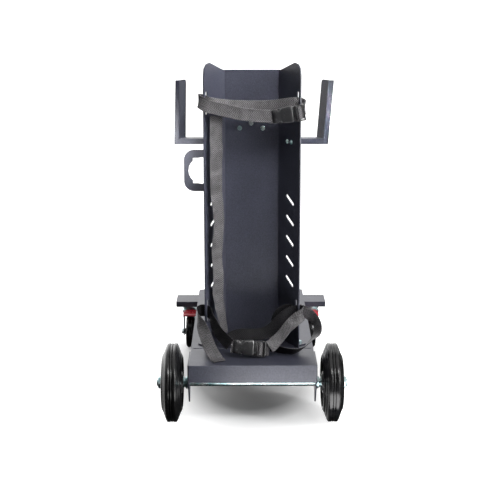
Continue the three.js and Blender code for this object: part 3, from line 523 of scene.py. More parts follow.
def rear_tyre_profile():
    # the middle rib, the tread's grooves and shoulder, the side wall's rings, and the bead
    return mirrored([
        (99.6, 0), (99.6, 1.5), (99.2, 2.1), (96.9, 2.5), (96.6, 3.1), (96.8, 3.7), (99.6, 4.2),
        (100, 4.8), (100, 10.6), (99.5, 11.9), (98.4, 12.7), (96.2, 13.3), (95.5, 13.9), (95.3, 14.5),
        (91.6, 15.9), (88, 17.4), (87.2, 17.1), (86.4, 17.3), (85.8, 18.1), (82.5, 19.5),
        (79, 20.7), (78.3, 20.3), (77.5, 20.5), (77, 21.3), (73, 23.6), (69, 25.6), (67, 26.1),
        (65.6, 25.7), (64.6, 24.4), (64, 22.2), (63, 21.2), (61.9, 21), (61.7, 17.5),
    ])


def rim_profile():
    # the bearing seat, the dished disc and the well that holds the tyre
    return plate_profile([
        (23, 24.5), (26.6, 24.5), (27.6, 23.5), (29.6, 8.2), (31.5, 5.6), (34, 4.6), (36, 4.6),
        (38, 5.6), (44, 5.8), (46.5, 5.2), (49, 4.6), (52.5, 4.6), (54, 5.4), (56.5, 11),
        (58, 16.6), (59.4, 18.6), (61.2, 18.9), (61.3, 17.6), (60.6, 0),
    ])


def hub_profile():
    # a sleeve with a groove in each end
    return mirrored([
        (22, 0), (22, 24.8), (21.2, 26.4), (20, 27), (17.6, 27), (17, 26.2), (16.2, 26.2), (15.6, 27),
        (13, 27), (12.4, 26), (10.1, 26),
    ])


RIVET_CIRCLE, RIVET_FOOT = 41 * MM, 5.0 * MM
RIVET_HEAD = ((0, 0), (3.6, 0), (3.6, 1.0), (2.8, 2.0), (1.4, 2.5), (0, 2.6))


def rivets(bm, centre):
    """Six rivet heads that hold the rim's two pressed halves together, on each face."""
    for face in (-1, 1):
        for k in range(6):
            angle = math.radians(60 * k)
            out = Vector((0, math.cos(angle), math.sin(angle)))
            start = centre + out * RIVET_CIRCLE + Vector((face * RIVET_FOOT, 0, 0))
            lathe(bm, in_metres(RIVET_HEAD), start, (face, 0, 0), 16)


def rear_wheels():
    for name, side in SIDES:
        centre, axis = Vector((side * WHEEL_X, AXLE_Y, AXLE_Z)), Vector((side, 0, 0))

        def tyre(bm):
            lathe(bm, rear_tyre_profile(), centre, axis, 144)

        def rim(bm):
            lathe(bm, rim_profile(), centre, axis, 96)
            rivets(bm, centre)

        def hub(bm):
            lathe(bm, hub_profile(), centre, axis, 64)

        stand_in("rear_tyre_" + name, "tyre_rubber", RUBBER, tyre)
        stand_in("rear_rim_" + name, "black_steel", BLACK_STEEL, rim)
        stand_in("rear_hub_" + name, "hub_plastic", HUB, hub)


# what sits on each end of the axle, outwards, in mm: a washer or a nut, its half width, its start and its end
AXLE_COLLAR = (("washer", 17, 164.3, 166.4), ("nut", 14, 166.4, 171.6), ("washer", 12, 171.6, 174.9),
               ("washer", 15.5, 174.9, 177.5))
AXLE_NUT = (("washer", 18, 232.4, 234.4), ("nut", 14, 234.4, 241.2), ("washer", 11.6, 241.2, 242.6))
AXLE_ROD_END, AXLE_THREAD, AXLE_PITCH = 236 * MM, (235 * MM, 244.8 * MM), 2.5 * MM
AXLE_MIDDLE = Vector((0, AXLE_Y, AXLE_Z))


def axle_stack(bm, axis, stack, turn):
    bore = AXLE_RADIUS + 0.3 * MM
    for kind, reach, start, end in stack:
        if kind == "nut":
            hexagon(bm, AXLE_MIDDLE, axis, 2 * reach * MM, start * MM, end * MM, bore, turn)
        else:
            washer_ring(bm, AXLE_MIDDLE, axis, reach * MM, bore, start * MM, end * MM)


def washer_ring(bm, centre, axis, outer, inner, low, high):
    """A washer with a softened rim."""
    soft = 0.35 * MM
    rows = [(inner, low), (outer - soft, low), (outer, low + soft), (outer, high - soft),
            (outer - soft, high), (inner, high), (inner, low)]
    lathe(bm, rows, centre, axis, 48)


def rear_axle():
    def rod(bm):
        disc(bm, AXLE_MIDDLE, X_AXIS, AXLE_RADIUS, -AXLE_ROD_END, AXLE_ROD_END, 48)
        for side in (-1, 1):
            thread(bm, AXLE_MIDDLE, X_AXIS * side, AXLE_RADIUS, *AXLE_THREAD, AXLE_PITCH, 48)

    stand_in("axle_rod", "zinc_plate", ZINC, rod)
    for name, side in SIDES:
        axis = X_AXIS * side
        stand_in("axle_collar_" + name, "zinc_plate", ZINC, lambda bm: axle_stack(bm, axis, AXLE_COLLAR, 0.3))
        stand_in("axle_nut_" + name, "zinc_plate", ZINC, lambda bm: axle_stack(bm, axis, AXLE_NUT, 0.15))


rear_wheels()
rear_axle()


# ---- caster wheels ----
CASTER_X, CASTER_Y, CASTER_RADIUS = 185 * MM, 302 * MM, 50 * MM
CASTER_BOLT_RADIUS, CASTER_BOLT_ACROSS = 4 * MM, 13 * MM
CASTER_FORK_FACE, CASTER_HEAD_END, CASTER_NUT_END, CASTER_BOLT_END = 22.8 * MM, 28 * MM, 28.4 * MM, 30.9 * MM


def caster_tyre_profile():
    return mirrored([
        (49.3, 0), (49.3, 1.2), (48.6, 1.7), (48.4, 2.3), (49.5, 2.9), (50, 3.6), (49.9, 7.2),
        (49, 9), (46.6, 11.6), (44, 13.4), (41.5, 13.9), (39.6, 13.6), (38.6, 12.6), (37, 12.4),
    ])


def caster_hub_profile():
    return plate_profile([
        (4.5, 18.8), (8.4, 18.8), (9, 18.2), (9.6, 10), (10.4, 8.6), (12, 8), (20, 7.4), (28, 7.4),
        (30, 8), (33, 10.4), (36.4, 11.6), (36.6, 10.8), (36.4, 0),
    ])


def caster_bolt(bm, middle):
    """The wheel's bolt, with its head on the left of the fork and its nut on the right."""
    half = 24 * MM
    disc(bm, middle, X_AXIS, CASTER_BOLT_RADIUS, -half, half, 24)
    hexagon(bm, middle, -X_AXIS, CASTER_BOLT_ACROSS, CASTER_FORK_FACE, CASTER_HEAD_END)
    hexagon(bm, middle, X_AXIS, CASTER_BOLT_ACROSS, CASTER_FORK_FACE, CASTER_NUT_END, turn=0.3)
    thread(bm, middle, X_AXIS, CASTER_BOLT_RADIUS, CASTER_HEAD_END, CASTER_BOLT_END, 1.25 * MM)


def caster_wheels():
    for name, side in SIDES:
        centre = Vector((side * CASTER_X, CASTER_Y, CASTER_RADIUS))
        stand_in("caster_tyre_" + name, "tyre_rubber", RUBBER,
                 lambda bm: lathe(bm, caster_tyre_profile(), centre, X_AXIS, 96))
        stand_in("caster_hub_" + name, "hub_plastic", HUB,
                 lambda bm: lathe(bm, caster_hub_profile(), centre, X_AXIS, 64))
        stand_in("caster_axle_" + name, "zinc_plate", ZINC, lambda bm: caster_bolt(bm, centre))


caster_wheels()


# ---- webbing: each row of a route is x, y, z in mm and the way that the width points ----
UP = (0, 0, 1)
WEB_HALF, WEB_THICK = 16 * MM, 1.5 * MM
UPPER_BAND = [
    (126, -221.6, 797.5, UP), (131, -218, 799.5, UP), (132, -211, 803, UP), (127.5, -204.7, 806.3, UP),
    (120.5, -201.4, 808.6, UP), (115.9, -203.9, 809.5, UP), (110.5, -206.8, 810, UP),
    (98, -206, 809.5, UP), (60, -196, 803, UP), (0, -190, 800, UP), (-60, -196, 803, UP),
    (-98, -206, 808.5, UP), (-110.5, -206.8, 811.5, UP), (-115.9, -203.9, 813.3, UP),
    (-120.5, -201.4, 815.2, UP), (-128, -203.5, 818, UP), (-133.5, -210, 819.5, UP),
    (-133, -219.5, 818, (0.06, 0, 1)), (-124.5, -226.5, 813, (0.2, 0, 0.97)),
    (-111, -229, 806, (0.28, 0, 0.96)), (-73, -230.5, 797, (0.2, 0, 1)),
    (-31, -231, 788, (0.12, 0, 1)), (12, -231, 782.5, (0.06, 0, 1)), (45, -231.5, 781, (-0.1, 0, 1)),
]
UPPER_TAIL = [
    (-90, -214, 780, (1, 0.12, 0)), (-90.5, -213.5, 762, (1, 0.12, 0)),
    (-91, -212, 725, (1, 0.15, 0.05)), (-90, -214.5, 690, (1, 0.2, 0)),
    (-91.5, -210, 655, (1, 0.25, -0.04)), (-91, -212, 615, (1, 0.3, 0)),
    (-91, -208, 580, (0.95, 0.38, 0.05)), (-87.5, -209, 548, (0.85, 0.5, 0)),
    (-85.5, -203, 505, (0.78, 0.62, -0.04)), (-88, -207.5, 465, (0.82, 0.57, 0)),
    (-90.5, -203, 432, (0.86, 0.5, 0)), (-90, -201, 398, (0.78, 0.62, 0.03)),
    (-87, -206, 358, (0.82, 0.57, 0)), (-89, -202, 325, (0.86, 0.5, 0)),
    (-85.5, -201, 288, (0.74, 0.67, 0)), (-80.5, -200, 258, (0.64, 0.77, 0)),
    (-76, -199, 232, (0.55, 0.83, 0)), (-72, -199, 205, (0.5, 0.86, 0)),
]
LOWER_LEFT = [
    (-56.5, -283.8, 203, (0.02, 0.42, 1)), (-69, -272, 212, (0, 0.35, 1)),
    (-86, -254, 225, (0.05, 0.2, 1)), (-98.5, -235, 243.5, (0.1, 0.1, 1)),
    (-104.8, -222, 254.5, (0.05, 0, 1)), (-108.6, -212.8, 262, (0.02, 0, 1)),
    (-112.2, -207.6, 265.6, UP), (-116.8, -205, 267.8, UP), (-121.6, -202.4, 269.2, UP),
    (-132, -201.5, 269.6, UP), (-141, -207, 266.5, (-0.08, -0.3, 1)),
    (-141.5, -218, 258.5, (0.1, -0.7, 0.75)), (-136.5, -229.5, 248.5, (0.5, -0.6, 0.6)),
    (-129, -243, 236, (0.8, -0.38, 0.42)), (-121, -260, 222, (0.91, -0.17, 0.36)),
    (-113, -277, 207, (0.93, 0, 0.33)), (-104, -293, 191.5, (0.93, 0.1, 0.28)),
    (-95, -305, 180.5, (0.97, 0.15, 0.12)), (-88, -313, 174, (1, 0.25, 0)),
    (-83, -323, 172.2, (1, 0.3, 0)),
]
LOWER_HEM = [
    (-87.4, -314, 176.6, (1, 0.25, 0)), (-85, -318.6, 175.1, (1, 0.28, 0)),
    (-82.9, -323.4, 174.3, (1, 0.3, 0)),
]
LOWER_RIGHT = [
    (43.5, -285.5, 197.8, (0, 0.42, 0.9)), (49.5, -282.4, 201, (-0.07, 0.55, 0.87)),
    (56, -276.5, 206, (-0.15, 0.75, 0.75)), (65, -267.5, 212.5, (-0.22, 0.9, 0.6)),
    (75, -257, 220, (-0.28, 1, 0.5)), (91, -239, 234, (-0.3, 0.95, 0.5)),
    (108, -226, 247, (-0.33, 0.55, 0.75)), (122, -221.5, 257.5, (-0.3, 0.1, 1)),
    (131, -216, 263, (-0.2, 0, 1)), (131, -207, 266.3, (-0.05, 0, 1)), (124, -204.1, 268.2, UP),
    (116.8, -205.7, 268.6, UP), (111, -208.5, 268.2, UP), (101, -209.5, 266, (-0.2, 0.1, 1)),
    (90, -212, 259, (-0.4, 0.2, 0.9)), (75, -216, 246, (-0.5, 0.3, 0.8)),
    (58, -218, 230, (-0.5, 0.3, 0.8)), (44, -220, 219, (-0.2, 0.4, 0.85)),
    (28, -222, 213, (0, 0.5, 0.87)), (3, -222, 210, (0, 0.5, 0.87)),
    (-31, -222, 210, (0, 0.5, 0.87)), (-46, -223, 206, (0.1, 0.5, 0.87)),
    (-64, -228, 196, (0.2, 0.5, 0.87)),
]
LOWER_LOOP = [
    (46, -212, 199, (-0.4, 0, 0.9)), (58, -209.5, 208, (-0.5, 0, 0.87)),
    (71, -208, 219, (-0.5, 0, 0.87)), (81.5, -206.8, 233, (-0.5, 0, 0.87)),
    (90, -205.4, 245, (-0.45, 0, 0.9)), (97.5, -204.4, 255, (-0.36, 0, 0.9)),
    (104.2, -203.8, 262, (-0.24, 0, 0.95)), (110.5, -203.9, 266, (-0.14, 0, 1)),
    (114.8, -201.7, 267.6, (-0.06, 0, 1)), (119.4, -199.8, 268.5, UP), (128, -200, 268.3, UP),
    (138, -203, 265.5, (0.1, -0.1, 1)), (149.5, -206, 259.5, (0.3, -0.2, 0.93)),
    (161, -211, 250.5, (0.42, -0.4, 0.8)), (168, -217, 242, (0.5, -0.6, 0.6)),
    (171, -225, 229, (0.55, -0.8, 0.1)), (168.5, -233, 216.5, (0.45, -0.85, 0.1)),
    (150, -250, 200, (0.3, -0.8, 0.45)), (128, -268, 187, (0.25, -0.78, 0.58)),
    (106, -277, 182.5, (0.1, -0.72, 0.67)), (88, -274, 183.3, (0, -0.68, 0.72)),
    (71, -267, 184.5, (0, -0.6, 0.8)), (56, -259, 186, (0, -0.5, 0.86)),
    (44, -252, 187.5, (0, -0.4, 0.9)),
]
LOWER_ARCH = [
    (104, -198.5, 268.2, UP), (97, -198, 268.9, UP), (88.5, -197.8, 268, (-0.1, 0, 1)),
    (80, -198.1, 264.5, (-0.4, 0, 0.92)), (73.5, -198.7, 258.5, (-0.7, 0, 0.7)),
    (68.5, -199.4, 250, (-0.87, 0, 0.5)), (65.5, -200.2, 239, (-0.97, 0, 0.25)),
    (64.5, -201, 226, (-1, 0, 0.08)), (64.5, -202, 212, (-1, 0, 0)),
]


SAMPLES_PER_ROW = 24
NEAR = 1e-9


def spline(rows):
    """Points and width directions along a smooth curve through a route's rows."""
    points = [Vector(row[:3]) * MM for row in rows]
    sides = [Vector(row[3]).normalized() for row in rows]
    points = [2 * points[0] - points[1]] + points + [2 * points[-1] - points[-2]]
    sides = [sides[0]] + sides + [sides[-1]]
    samples = []
    for i in range(1, len(points) - 2):
        p = points[i - 1:i + 3]
        knots = [0.0]
        for a, b in zip(p, p[1:]):
            knots.append(knots[-1] + max((b - a).length, NEAR) ** 0.5)
        s0, s1, s2, s3 = sides[i - 1:i + 3]
        for k in range(SAMPLES_PER_ROW):
            u = k / SAMPLES_PER_ROW
            t = knots[1] + (knots[2] - knots[1]) * u
            a1 = p[0].lerp(p[1], (t - knots[0]) / (knots[1] - knots[0]))
            a2 = p[1].lerp(p[2], (t - knots[1]) / (knots[2] - knots[1]))
            a3 = p[2].lerp(p[3], (t - knots[2]) / (knots[3] - knots[2]))
            b1 = a1.lerp(a2, (t - knots[0]) / (knots[2] - knots[0]))
            b2 = a2.lerp(a3, (t - knots[1]) / (knots[3] - knots[1]))
            side = 0.5 * (2 * s1 + (s2 - s0) * u + (2 * s0 - 5 * s1 + 4 * s2 - s3) * u * u
                          + (3 * s1 - s0 - 3 * s2 + s3) * u ** 3)
            samples.append((b1.lerp(b2, u), side))
    samples.append((points[-2], sides[-2]))
    return samples


def frames_along(rows, steps):
    """Point, width direction and outward direction at even lengths of a route, and its length."""
    samples = spline(rows)
    lengths = [0.0]
    for (a, _), (b, _) in zip(samples, samples[1:]):
        lengths.append(lengths[-1] + (b - a).length)
    total = lengths[-1]
    even = []
    k = 0
    for i in range(steps + 1):
        want = total * i / steps
        while k < len(lengths) - 2 and lengths[k + 1] < want:
            k += 1
        share = (want - lengths[k]) / max(lengths[k + 1] - lengths[k], NEAR)
        even.append([samples[k][j].lerp(samples[k + 1][j], share) for j in (0, 1)])
    frames = []
    for i, (point, side) in enumerate(even):
        tangent = (even[min(i + 1, steps)][0] - even[max(i - 1, 0)][0]).normalized()
        side = (side - tangent * side.dot(tangent)).normalized()
        frames.append((point, side, tangent.cross(side)))
    return frames, total


WEB_STEP, LEAST_STEPS = 1.6 * MM, 24
# how many steps at each end of a strip stay free of cup and ripples
CALM_STEPS = 8
# half the section across the strap: (place from -1 to 1, half thickness share); the selvedges are fuller
SECTION = [
    (-1.0, 0.35), (-0.975, 0.85), (-0.93, 1.0), (-0.86, 0.93), (-0.72, 0.88), (-0.45, 0.88), (-0.15, 0.88),
    (0.15, 0.88), (0.45, 0.88), (0.72, 0.88), (0.86, 0.93), (0.93, 1.0), (0.975, 0.85), (1.0, 0.35),
]
# radians of the ripples per metre of strap
SHORT_WAVE, LONG_WAVE = 210, 97


def ripple_at(along, across, seed):
    """Two crossing waves of the cloth, a short one and a long one."""
    short = math.sin(along * SHORT_WAVE + seed + 1.5 * across)
    return short + 0.7 * math.sin(along * LONG_WAVE + 2.3 * seed - 2 * across)


def webbing(name, rows, node, cup=0.0, ripple=0.0, seed=0.0, back=0):
    """A strip of webbing along its rows, with full selvedges, a slight cup and small ripples.

    back is the side whose faces take the darker copy of the webbing, a painted shade: 1 for the outer side,
    -1 for the inner, 0 for none.
    """
    rough_length = sum((Vector(a[:3]) - Vector(b[:3])).length for a, b in zip(rows, rows[1:])) * MM
    steps = max(LEAST_STEPS, round(rough_length / WEB_STEP))
    frames, length = frames_along(rows, steps)
    bm = bmesh.new()
    chart = bm.loops.layers.uv.new("weave")
    loop = SECTION + [(v, -h) for v, h in reversed(SECTION)]
    rings = []
    for i, (point, side, out) in enumerate(frames):
        fade = min(1.0, i / CALM_STEPS, (steps - i) / CALM_STEPS)
        corners = []
        for v, h in loop:
            lift = fade * MM * (cup * (v * v - 0.4) + ripple * ripple_at(length * i / steps, v, seed))
            corners.append(bm.verts.new(point + side * (v * WEB_HALF) + out * (h * WEB_THICK / 2 + lift)))
        rings.append(corners)
    for i, (a, b) in enumerate(zip(rings, rings[1:])):
        u0, u1 = length * i / steps, length * (i + 1) / steps
        for k, face in enumerate(join_rings(bm, a, b)):
            (v0, h0), (v1, h1) = loop[k], loop[(k + 1) % len(loop)]
            chart_corners = ((u0, v0), (u0, v1), (u1, v1), (u1, v0))
            for corner, (u, v) in zip(face.loops, chart_corners):
                corner[chart].uv = (u, v * WEB_HALF)
            # faces on the chosen side take the darker copy of the webbing: painted shade
            if (h0 + h1) * back > 0:
                face.material_index = 1
    for corners, u in ((rings[0][::-1], 0.0), (rings[-1], length)):
        for corner in bm.faces.new(corners).loops:
            corner[chart].uv = (u, 0.0)
    replaced = [node] if node else []
    piece = new_piece(name, mesh_of(bm, name, 60.0), "webbing", "frame", [WEAVE, WEAVE_PAINTED_SHADE], *replaced)


webbing("upper_strap", UPPER_BAND, "upper_webbing", 0.5, 0.3, 0.4)
webbing("upper_strap_tail", UPPER_TAIL, "upper_webbing_tail", 0.8, 0.5, 1.1)
# these strips show painted shade on their inner faces
webbing("lower_strap_left", LOWER_LEFT, "lower_webbing_left", 0.4, 0.25, 2.0, -1)
webbing("lower_strap_hem", LOWER_HEM, None)
webbing("lower_strap_right", LOWER_RIGHT, "lower_webbing_right", 0.4, 0.25, 2.7, -1)
webbing("lower_strap_loop", LOWER_LOOP, "lower_webbing_loop", 0.3, 0.2, 3.3, -1)
webbing("lower_strap_arch", LOWER_ARCH, "lower_webbing_arch", 0.2, 0.1, 4.0, -1)


# ---- side-release buckles, drawn flat in XZ with the socket at the left and the face to -Y ----
class Placing:
    """Where a buckle sits: its joint line, a turn about Z, a roll about Y and a lean about X."""

    def __init__(self, name, at, turn, roll, lean):
        self.name = name
        self.matrix = (Matrix.Translation(Vector(at) * MM) @ Matrix.Rotation(turn, 4, "Z")
                       @ Matrix.Rotation(roll, 4, "Y") @ Matrix.Rotation(lean, 4, "X"))

    def rows(self, local):
        """Strap rows given in the buckle's own frame, as rows in the cart's frame."""
        turned = self.matrix.to_3x3() @ Vector(UP)
        return [(*(self.matrix @ (Vector(row) * MM) / MM), tuple(turned)) for row in local]


def loft(bm, stations, power, crown, count):
    """A moulded body through sections at x, each with a half height, a middle and two depths.

    A higher power squares the sections' corners, and the crown rounds their front.
    """
    rings = []
    for x, half, middle, front, back in stations:
        corners = []
        for k in range(count):
            t = 2 * math.pi * (k + 0.5) / count
            c, d = math.cos(t), math.sin(t)
            z = math.copysign(abs(c) ** (2 / power), c)
            y = math.copysign(abs(d) ** (2 / power), d)
            depth = back if y > 0 else front * (1 - crown * z * z)
            corners.append(bm.verts.new((x * MM, y * depth * MM, (middle + z * half) * MM)))
        rings.append(corners)
    for a, b in zip(rings, rings[1:]):
        join_rings(bm, a, b)
    bm.faces.new(rings[0][::-1])
    bm.faces.new(rings[-1])


def soft_box(bm, x, y, z, radius):
    """A rounded block between three pairs of limits."""
    made = bmesh.ops.create_cube(bm, size=1.0)
    spans = [Vector((x[i], y[i], z[i])) * MM for i in (0, 1)]
    for vert in made["verts"]:
        vert.co = Vector([spans[0][i] if vert.co[i] < 0 else spans[1][i] for i in range(3)])
    edges = list(dict.fromkeys(edge for vert in made["verts"] for edge in vert.link_edges))
    bmesh.ops.bevel(bm, geom=edges, offset=radius * MM, segments=3, profile=0.5, affect="EDGES")


# along the socket: x, half height, middle, depth in front and depth behind
SOCKET_STATIONS = [
    (-52, 15.4, 0, 2.8, 2.8), (-51.4, 16.4, 0, 3.7, 3.5), (-49.6, 17.1, 0, 4.5, 4.2),
    (-45, 17.3, 0, 5.0, 4.5), (-38.2, 17.6, 0, 5.4, 4.8), (-37.4, 16.8, 0, 5.4, 4.8),
    (-36.8, 14.4, 0, 5.4, 4.9), (-30, 14.2, 0, 5.6, 5.0), (-28.6, 15.2, 0, 5.7, 5.2),
    (-27.4, 17.6, 0, 5.8, 5.4), (-26, 18.4, 0, 5.9, 5.6), (-20, 19.2, 0, 6, 5.8),
    (-12, 20, 0, 6, 5.9), (-5, 20.4, 0, 6, 5.9), (-2.2, 20.3, 0, 5.9, 5.8),
    (-0.9, 19.9, 0, 5.6, 5.5), (0, 19.1, 0, 4.9, 4.9),
]
# the strap's way over the ladder's bars, and its end in the socket, in mm in the buckle's own frame
LADDER_WEAVE = [(24.6, 3.4, 0), (22.8, 0, 0), (20.4, -2.6, 0), (16.7, -3.5, 0), (13.4, -2.4, 0),
                (12.0, 0.4, 0), (10.6, 3.6, 0), (7, 4.6, 0), (0, 5.4, 0)]
SOCKET_FOLD = [(-57.5, 0.6, 0), (-54, 0.6, 0), (-50, 0.5, 0), (-46, 0.4, 0), (-42, 0.4, 0)]


def buckle_socket(bm):
    """The socket's shell with its waist for the thumbs, and two raised grips on its face."""
    loft(bm, SOCKET_STATIONS, 7.0, 0.16, 44)
    for z in (-1, 1):
        soft_box(bm, (-47, -41), (-5.5, -4.2), sorted((z * 6, z * 14)), 0.5)


def buckle_ladder(bm):
    """The two prongs with their latches, the side rails, and the bars that the strap runs over."""
    for z in (-1, 1):
        soft_box(bm, (-2, 7), (-2.6, 2.6), sorted((z * 9.8, z * 16.2)), 0.9)
        loft(bm, [(-37.6, 1.0, z * 15.6, 1.6, 1.6), (-36.6, 2.2, z * 16.0, 2.8, 2.8),
                  (-34, 2.8, z * 16.0, 3.2, 3.2), (-30.4, 2.8, z * 15.8, 3.2, 3.2),
                  (-29, 1.6, z * 15, 2.6, 2.6)], 4.0, 0.0, 24)
        soft_box(bm, (5.4, 31), (-3.4, 3.4), sorted((z * 17.2, z * 20.5)), 1.3)
    soft_box(bm, (0.4, 9.4), (-1.9, 3.0), (-18.4, 18.4), 0.8)
    soft_box(bm, (8.4, 10.6), (-5.6, 3.2), (-20, 20), 1.0)
    soft_box(bm, (15.2, 18.2), (-1.6, 1.4), (-17.6, 17.6), 0.9)
    soft_box(bm, (27.2, 31), (-3.8, 2.2), (-20, 20), 1.4)


def buckle(placing, strap_out):
    """Both halves of a closed buckle, with the webbing that is folded into them."""
    for kind, draw in (("socket", buckle_socket), ("ladder", buckle_ladder)):
        def placed(bm):
            draw(bm)
            bm.transform(placing.matrix)

        stand_in(f"{placing.name}_buckle_{kind}", "buckle_plastic", BUCKLE, placed, 40.0)
    woven, folded = placing.rows(strap_out + LADDER_WEAVE), placing.rows(SOCKET_FOLD)
    webbing(placing.name + "_strap_in_ladder", woven, None)
    webbing(placing.name + "_strap_in_socket", folded, None)


UPPER_BUCKLE = Placing("upper", (101, -229.5, 787), 0.06, -0.14, 0)
LOWER_BUCKLE = Placing("lower", (3, -287, 195), 0.02, 0.1, -0.42)
buckle(UPPER_BUCKLE, [(29, 6.6, 0), (26.6, 5.4, 0)])
buckle(LOWER_BUCKLE, [(40, 0.6, 0), (35, 2.2, 0), (30, 3.8, 0), (27, 4.2, 0)])


# ---- brake pedals: a thin tread with grips on a narrower hinge block, and the pin; mm ----
PEDAL_PIVOT_Y = 337
# side outlines, as distances in Y from the swivel's axis, and heights
PEDAL_TREAD = [(-82, 115), (-82, 111.6), (-80, 110.9), (-49, 114.2), (-49, 119.3), (-78, 117.2)]
PEDAL_BLOCK = [
    (-53, 115), (-47, 111), (-43, 106.5), (-38, 106.4), (-33, 109), (-31, 113), (-31, 118.5),
    (-38, 119.5), (-53, 118.9),
]
PEDAL_TREAD_HALF, PEDAL_BLOCK_HALF, PEDAL_GRIP_HALF = 21.8, 17.5, 17
PEDAL_GRIPS = ((-58, 118.0), (-65, 117.5), (-72, 117.0))
PEDAL_PIN_AT, PEDAL_PIN_HALF, PEDAL_PIN_RADIUS = (-36, 114), 24.3, 3


def prism(bm, outline, middle, half, bevel):
    """A rounded block of a side outline in Y and Z, either way of a middle in X."""
    rings = [[bm.verts.new(Vector((middle + x, PEDAL_PIVOT_Y + y, z)) * MM) for y, z in outline]
             for x in (-half, half)]
    faces = [bm.faces.new(rings[0][::-1]), bm.faces.new(rings[1])] + join_rings(bm, *rings)
    edges = list(dict.fromkeys(edge for face in faces for edge in face.edges))
    bmesh.ops.bevel(bm, geom=edges, offset=bevel * MM, segments=2, profile=0.5, affect="EDGES")


def brake_pedal(bm, middle):
    """One pedal with its hinge pin, centred on its caster in X."""
    prism(bm, PEDAL_TREAD, middle, PEDAL_TREAD_HALF, 0.9)
    prism(bm, PEDAL_BLOCK, middle, PEDAL_BLOCK_HALF, 0.9)
    for y, z in PEDAL_GRIPS:
        ridge = [(y - 1.3, z), (y + 1.3, z), (y + 0.9, z + 1.5), (y - 0.9, z + 1.5)]
        prism(bm, ridge, middle, PEDAL_GRIP_HALF, 0.35)
    y, z = PEDAL_PIN_AT
    start = Vector((middle - PEDAL_PIN_HALF, PEDAL_PIVOT_Y + y, z)) * MM
    length, r = 2 * PEDAL_PIN_HALF, PEDAL_PIN_RADIUS
    pin = [(0, 0), (r - 0.3, 0), (r, 0.5), (r, length - 0.5), (r - 0.3, length), (0, length)]
    lathe(bm, in_metres(pin), start, X_AXIS, 24)


for name, side in SIDES:
    stand_in("brake_pedal_" + name, "red_paint", RED, lambda bm: brake_pedal(bm, side * CASTER_X / MM))


# ---- stage ----
FLOOR_HALF = 300
# the floor glows white away from the cart, so that its unglowing middle paints a soft shadow under it; the
# glow fades in between two distances from this middle
GLOW_SCALE, GLOW_SHIFT, GLOW_FROM, GLOW_TO = (2.0, 1.0, 1.0), (0.0, -0.12, 0.0), 0.33, 0.60


def floor_finish():
    """A white sweep that glows away from the cart, with a painted shadow under it where the glow fades out,
    over the lamps' real shadows.
    """
    n = Nodes("floor")
    place = n.add("Mapping", {"Vector": n.place, "Scale": GLOW_SCALE, "Location": GLOW_SHIFT}).outputs[0]
    reach = n.add("VectorMath", {0: place}, operation="LENGTH").outputs["Value"]
    n.surface(Base_Color=rgb(0.6, 0.6, 0.6), Roughness=0.85, Specular_IOR_Level=0.1)
    n.surface(Emission_Color=rgb(1, 1, 1), Emission_Strength=n.ramp(reach, GLOW_FROM, GLOW_TO))
    return n.material


def make_stage():
    bm = bmesh.new()
    bmesh.ops.create_grid(bm, x_segments=8, y_segments=8, size=FLOOR_HALF)
    floor = bpy.data.objects.new("floor", mesh_of(bm, "floor"))
    bpy.context.scene.collection.objects.link(floor)
    floor.data.materials.append(floor_finish())
    floor.visible_diffuse = False
    floor.visible_glossy = False


# ---- light: a dim studio with soft lobes of light, and lamps ----
WORLD_BASE = 0.02
# direction, the cosines where a lobe starts and is full, and its strength
WORLD_LOBES = (
    ((0, 0.1, 1), 0.5, 0.95, 1.1),
    ((0.9, -0.40, 0.25), 0.6, 1.0, 1.0),
    ((-0.35, 0.9, 0.25), 0.6, 1.0, 1.7),
    ((-0.7, 0.7, 0.3), 0.75, 1.0, 0.4),
)
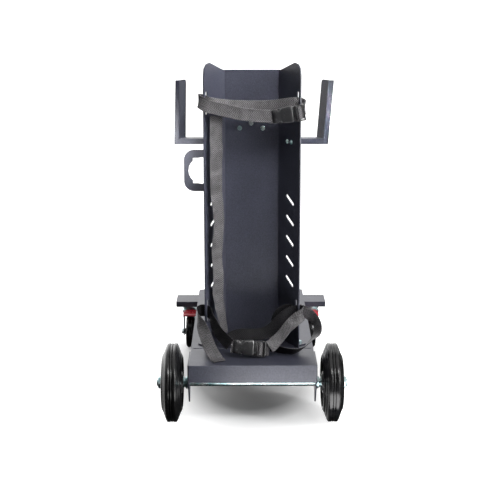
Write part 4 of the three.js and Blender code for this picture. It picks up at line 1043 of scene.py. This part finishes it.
# place, target, width and height, power in watts, and the spread of the beam in degrees
LAMPS = {
    "key": ((0.85, -1.6, 2.1), (-0.05, -0.12, 1.0), (0.4, 0.7), 6.2, 48),
    "side_key": ((2.3, -1.5, 1.3), (0, 0, 0.5), (0.5, 1.6), 56, 180),
    "bounce": ((0.17, -0.57, 0.012), (0.17, -0.56, 1.0), (0.5, 0.34), 3.5, 180),
    "strip_left": ((-1.9, 0.1, 0.9), (-0.2, -0.2, 0.4), (0.12, 1.7), 2, 180),
    "holder_fill": ((-0.55, -1.5, 0.95), (-0.22, -0.17, 0.68), (0.06, 0.06), 0.22, 12),
    "hook_fill": ((0.95, -1.45, 1.05), (0.225, -0.17, 0.79), (0.06, 0.06), 0.42, 8),
    "strip_right": ((1.7, -2.0, 0.9), (0.2, -0.2, 0.4), (0.09, 1.7), 3, 180),
    "rim_left": ((-0.9, 1.8, 1.4), (0, 0, 0.5), (0.7, 1.8), 8, 180),
    "rim_right": ((1.5, 1.4, 1.4), (0, 0, 0.5), (0.7, 1.8), 12, 180),
}


def make_world():
    """Lobes of light overhead, at the right and beyond the cart, in a nearly black surround."""
    world = bpy.data.worlds.new("studio")
    world.use_nodes = True
    n = Tree(world.node_tree)
    direction = n.add("TexCoord").outputs["Generated"]
    total = WORLD_BASE
    for towards, start, full, strength in WORLD_LOBES:
        towards = Vector(towards).normalized()
        cosine = n.add("VectorMath", {0: direction, 1: towards}, operation="DOT_PRODUCT").outputs["Value"]
        values = {"Value": cosine, "From Min": start, "From Max": full, "To Max": strength}
        lobe = n.add("MapRange", values, interpolation_type="SMOOTHSTEP").outputs["Result"]
        total = n.add("Math", {0: total, 1: lobe}, operation="ADD").outputs[0]
    background = n.tree.nodes["Background"]
    n.put(background.inputs["Strength"], total)
    n.put(background.inputs["Color"], rgb(1.0, 1.0, 1.0))
    bpy.context.scene.world = world


def lamp(name, place, target, size, power, spread):
    """A rectangular lamp that the camera does not see."""
    data = bpy.data.lights.new(name, "AREA")
    data.shape = "RECTANGLE"
    data.size, data.size_y = size
    data.energy = power
    data.spread = math.radians(spread)
    light = bpy.data.objects.new(name, data)
    light.location = place
    light.rotation_euler = (Vector(target) - Vector(place)).to_track_quat("-Z", "Y").to_euler()
    light.visible_camera = False
    bpy.context.scene.collection.objects.link(light)


make_stage()
make_world()
for name, settings in LAMPS.items():
    lamp(name, *settings)
bpy.context.scene.view_settings.view_transform = "Standard"
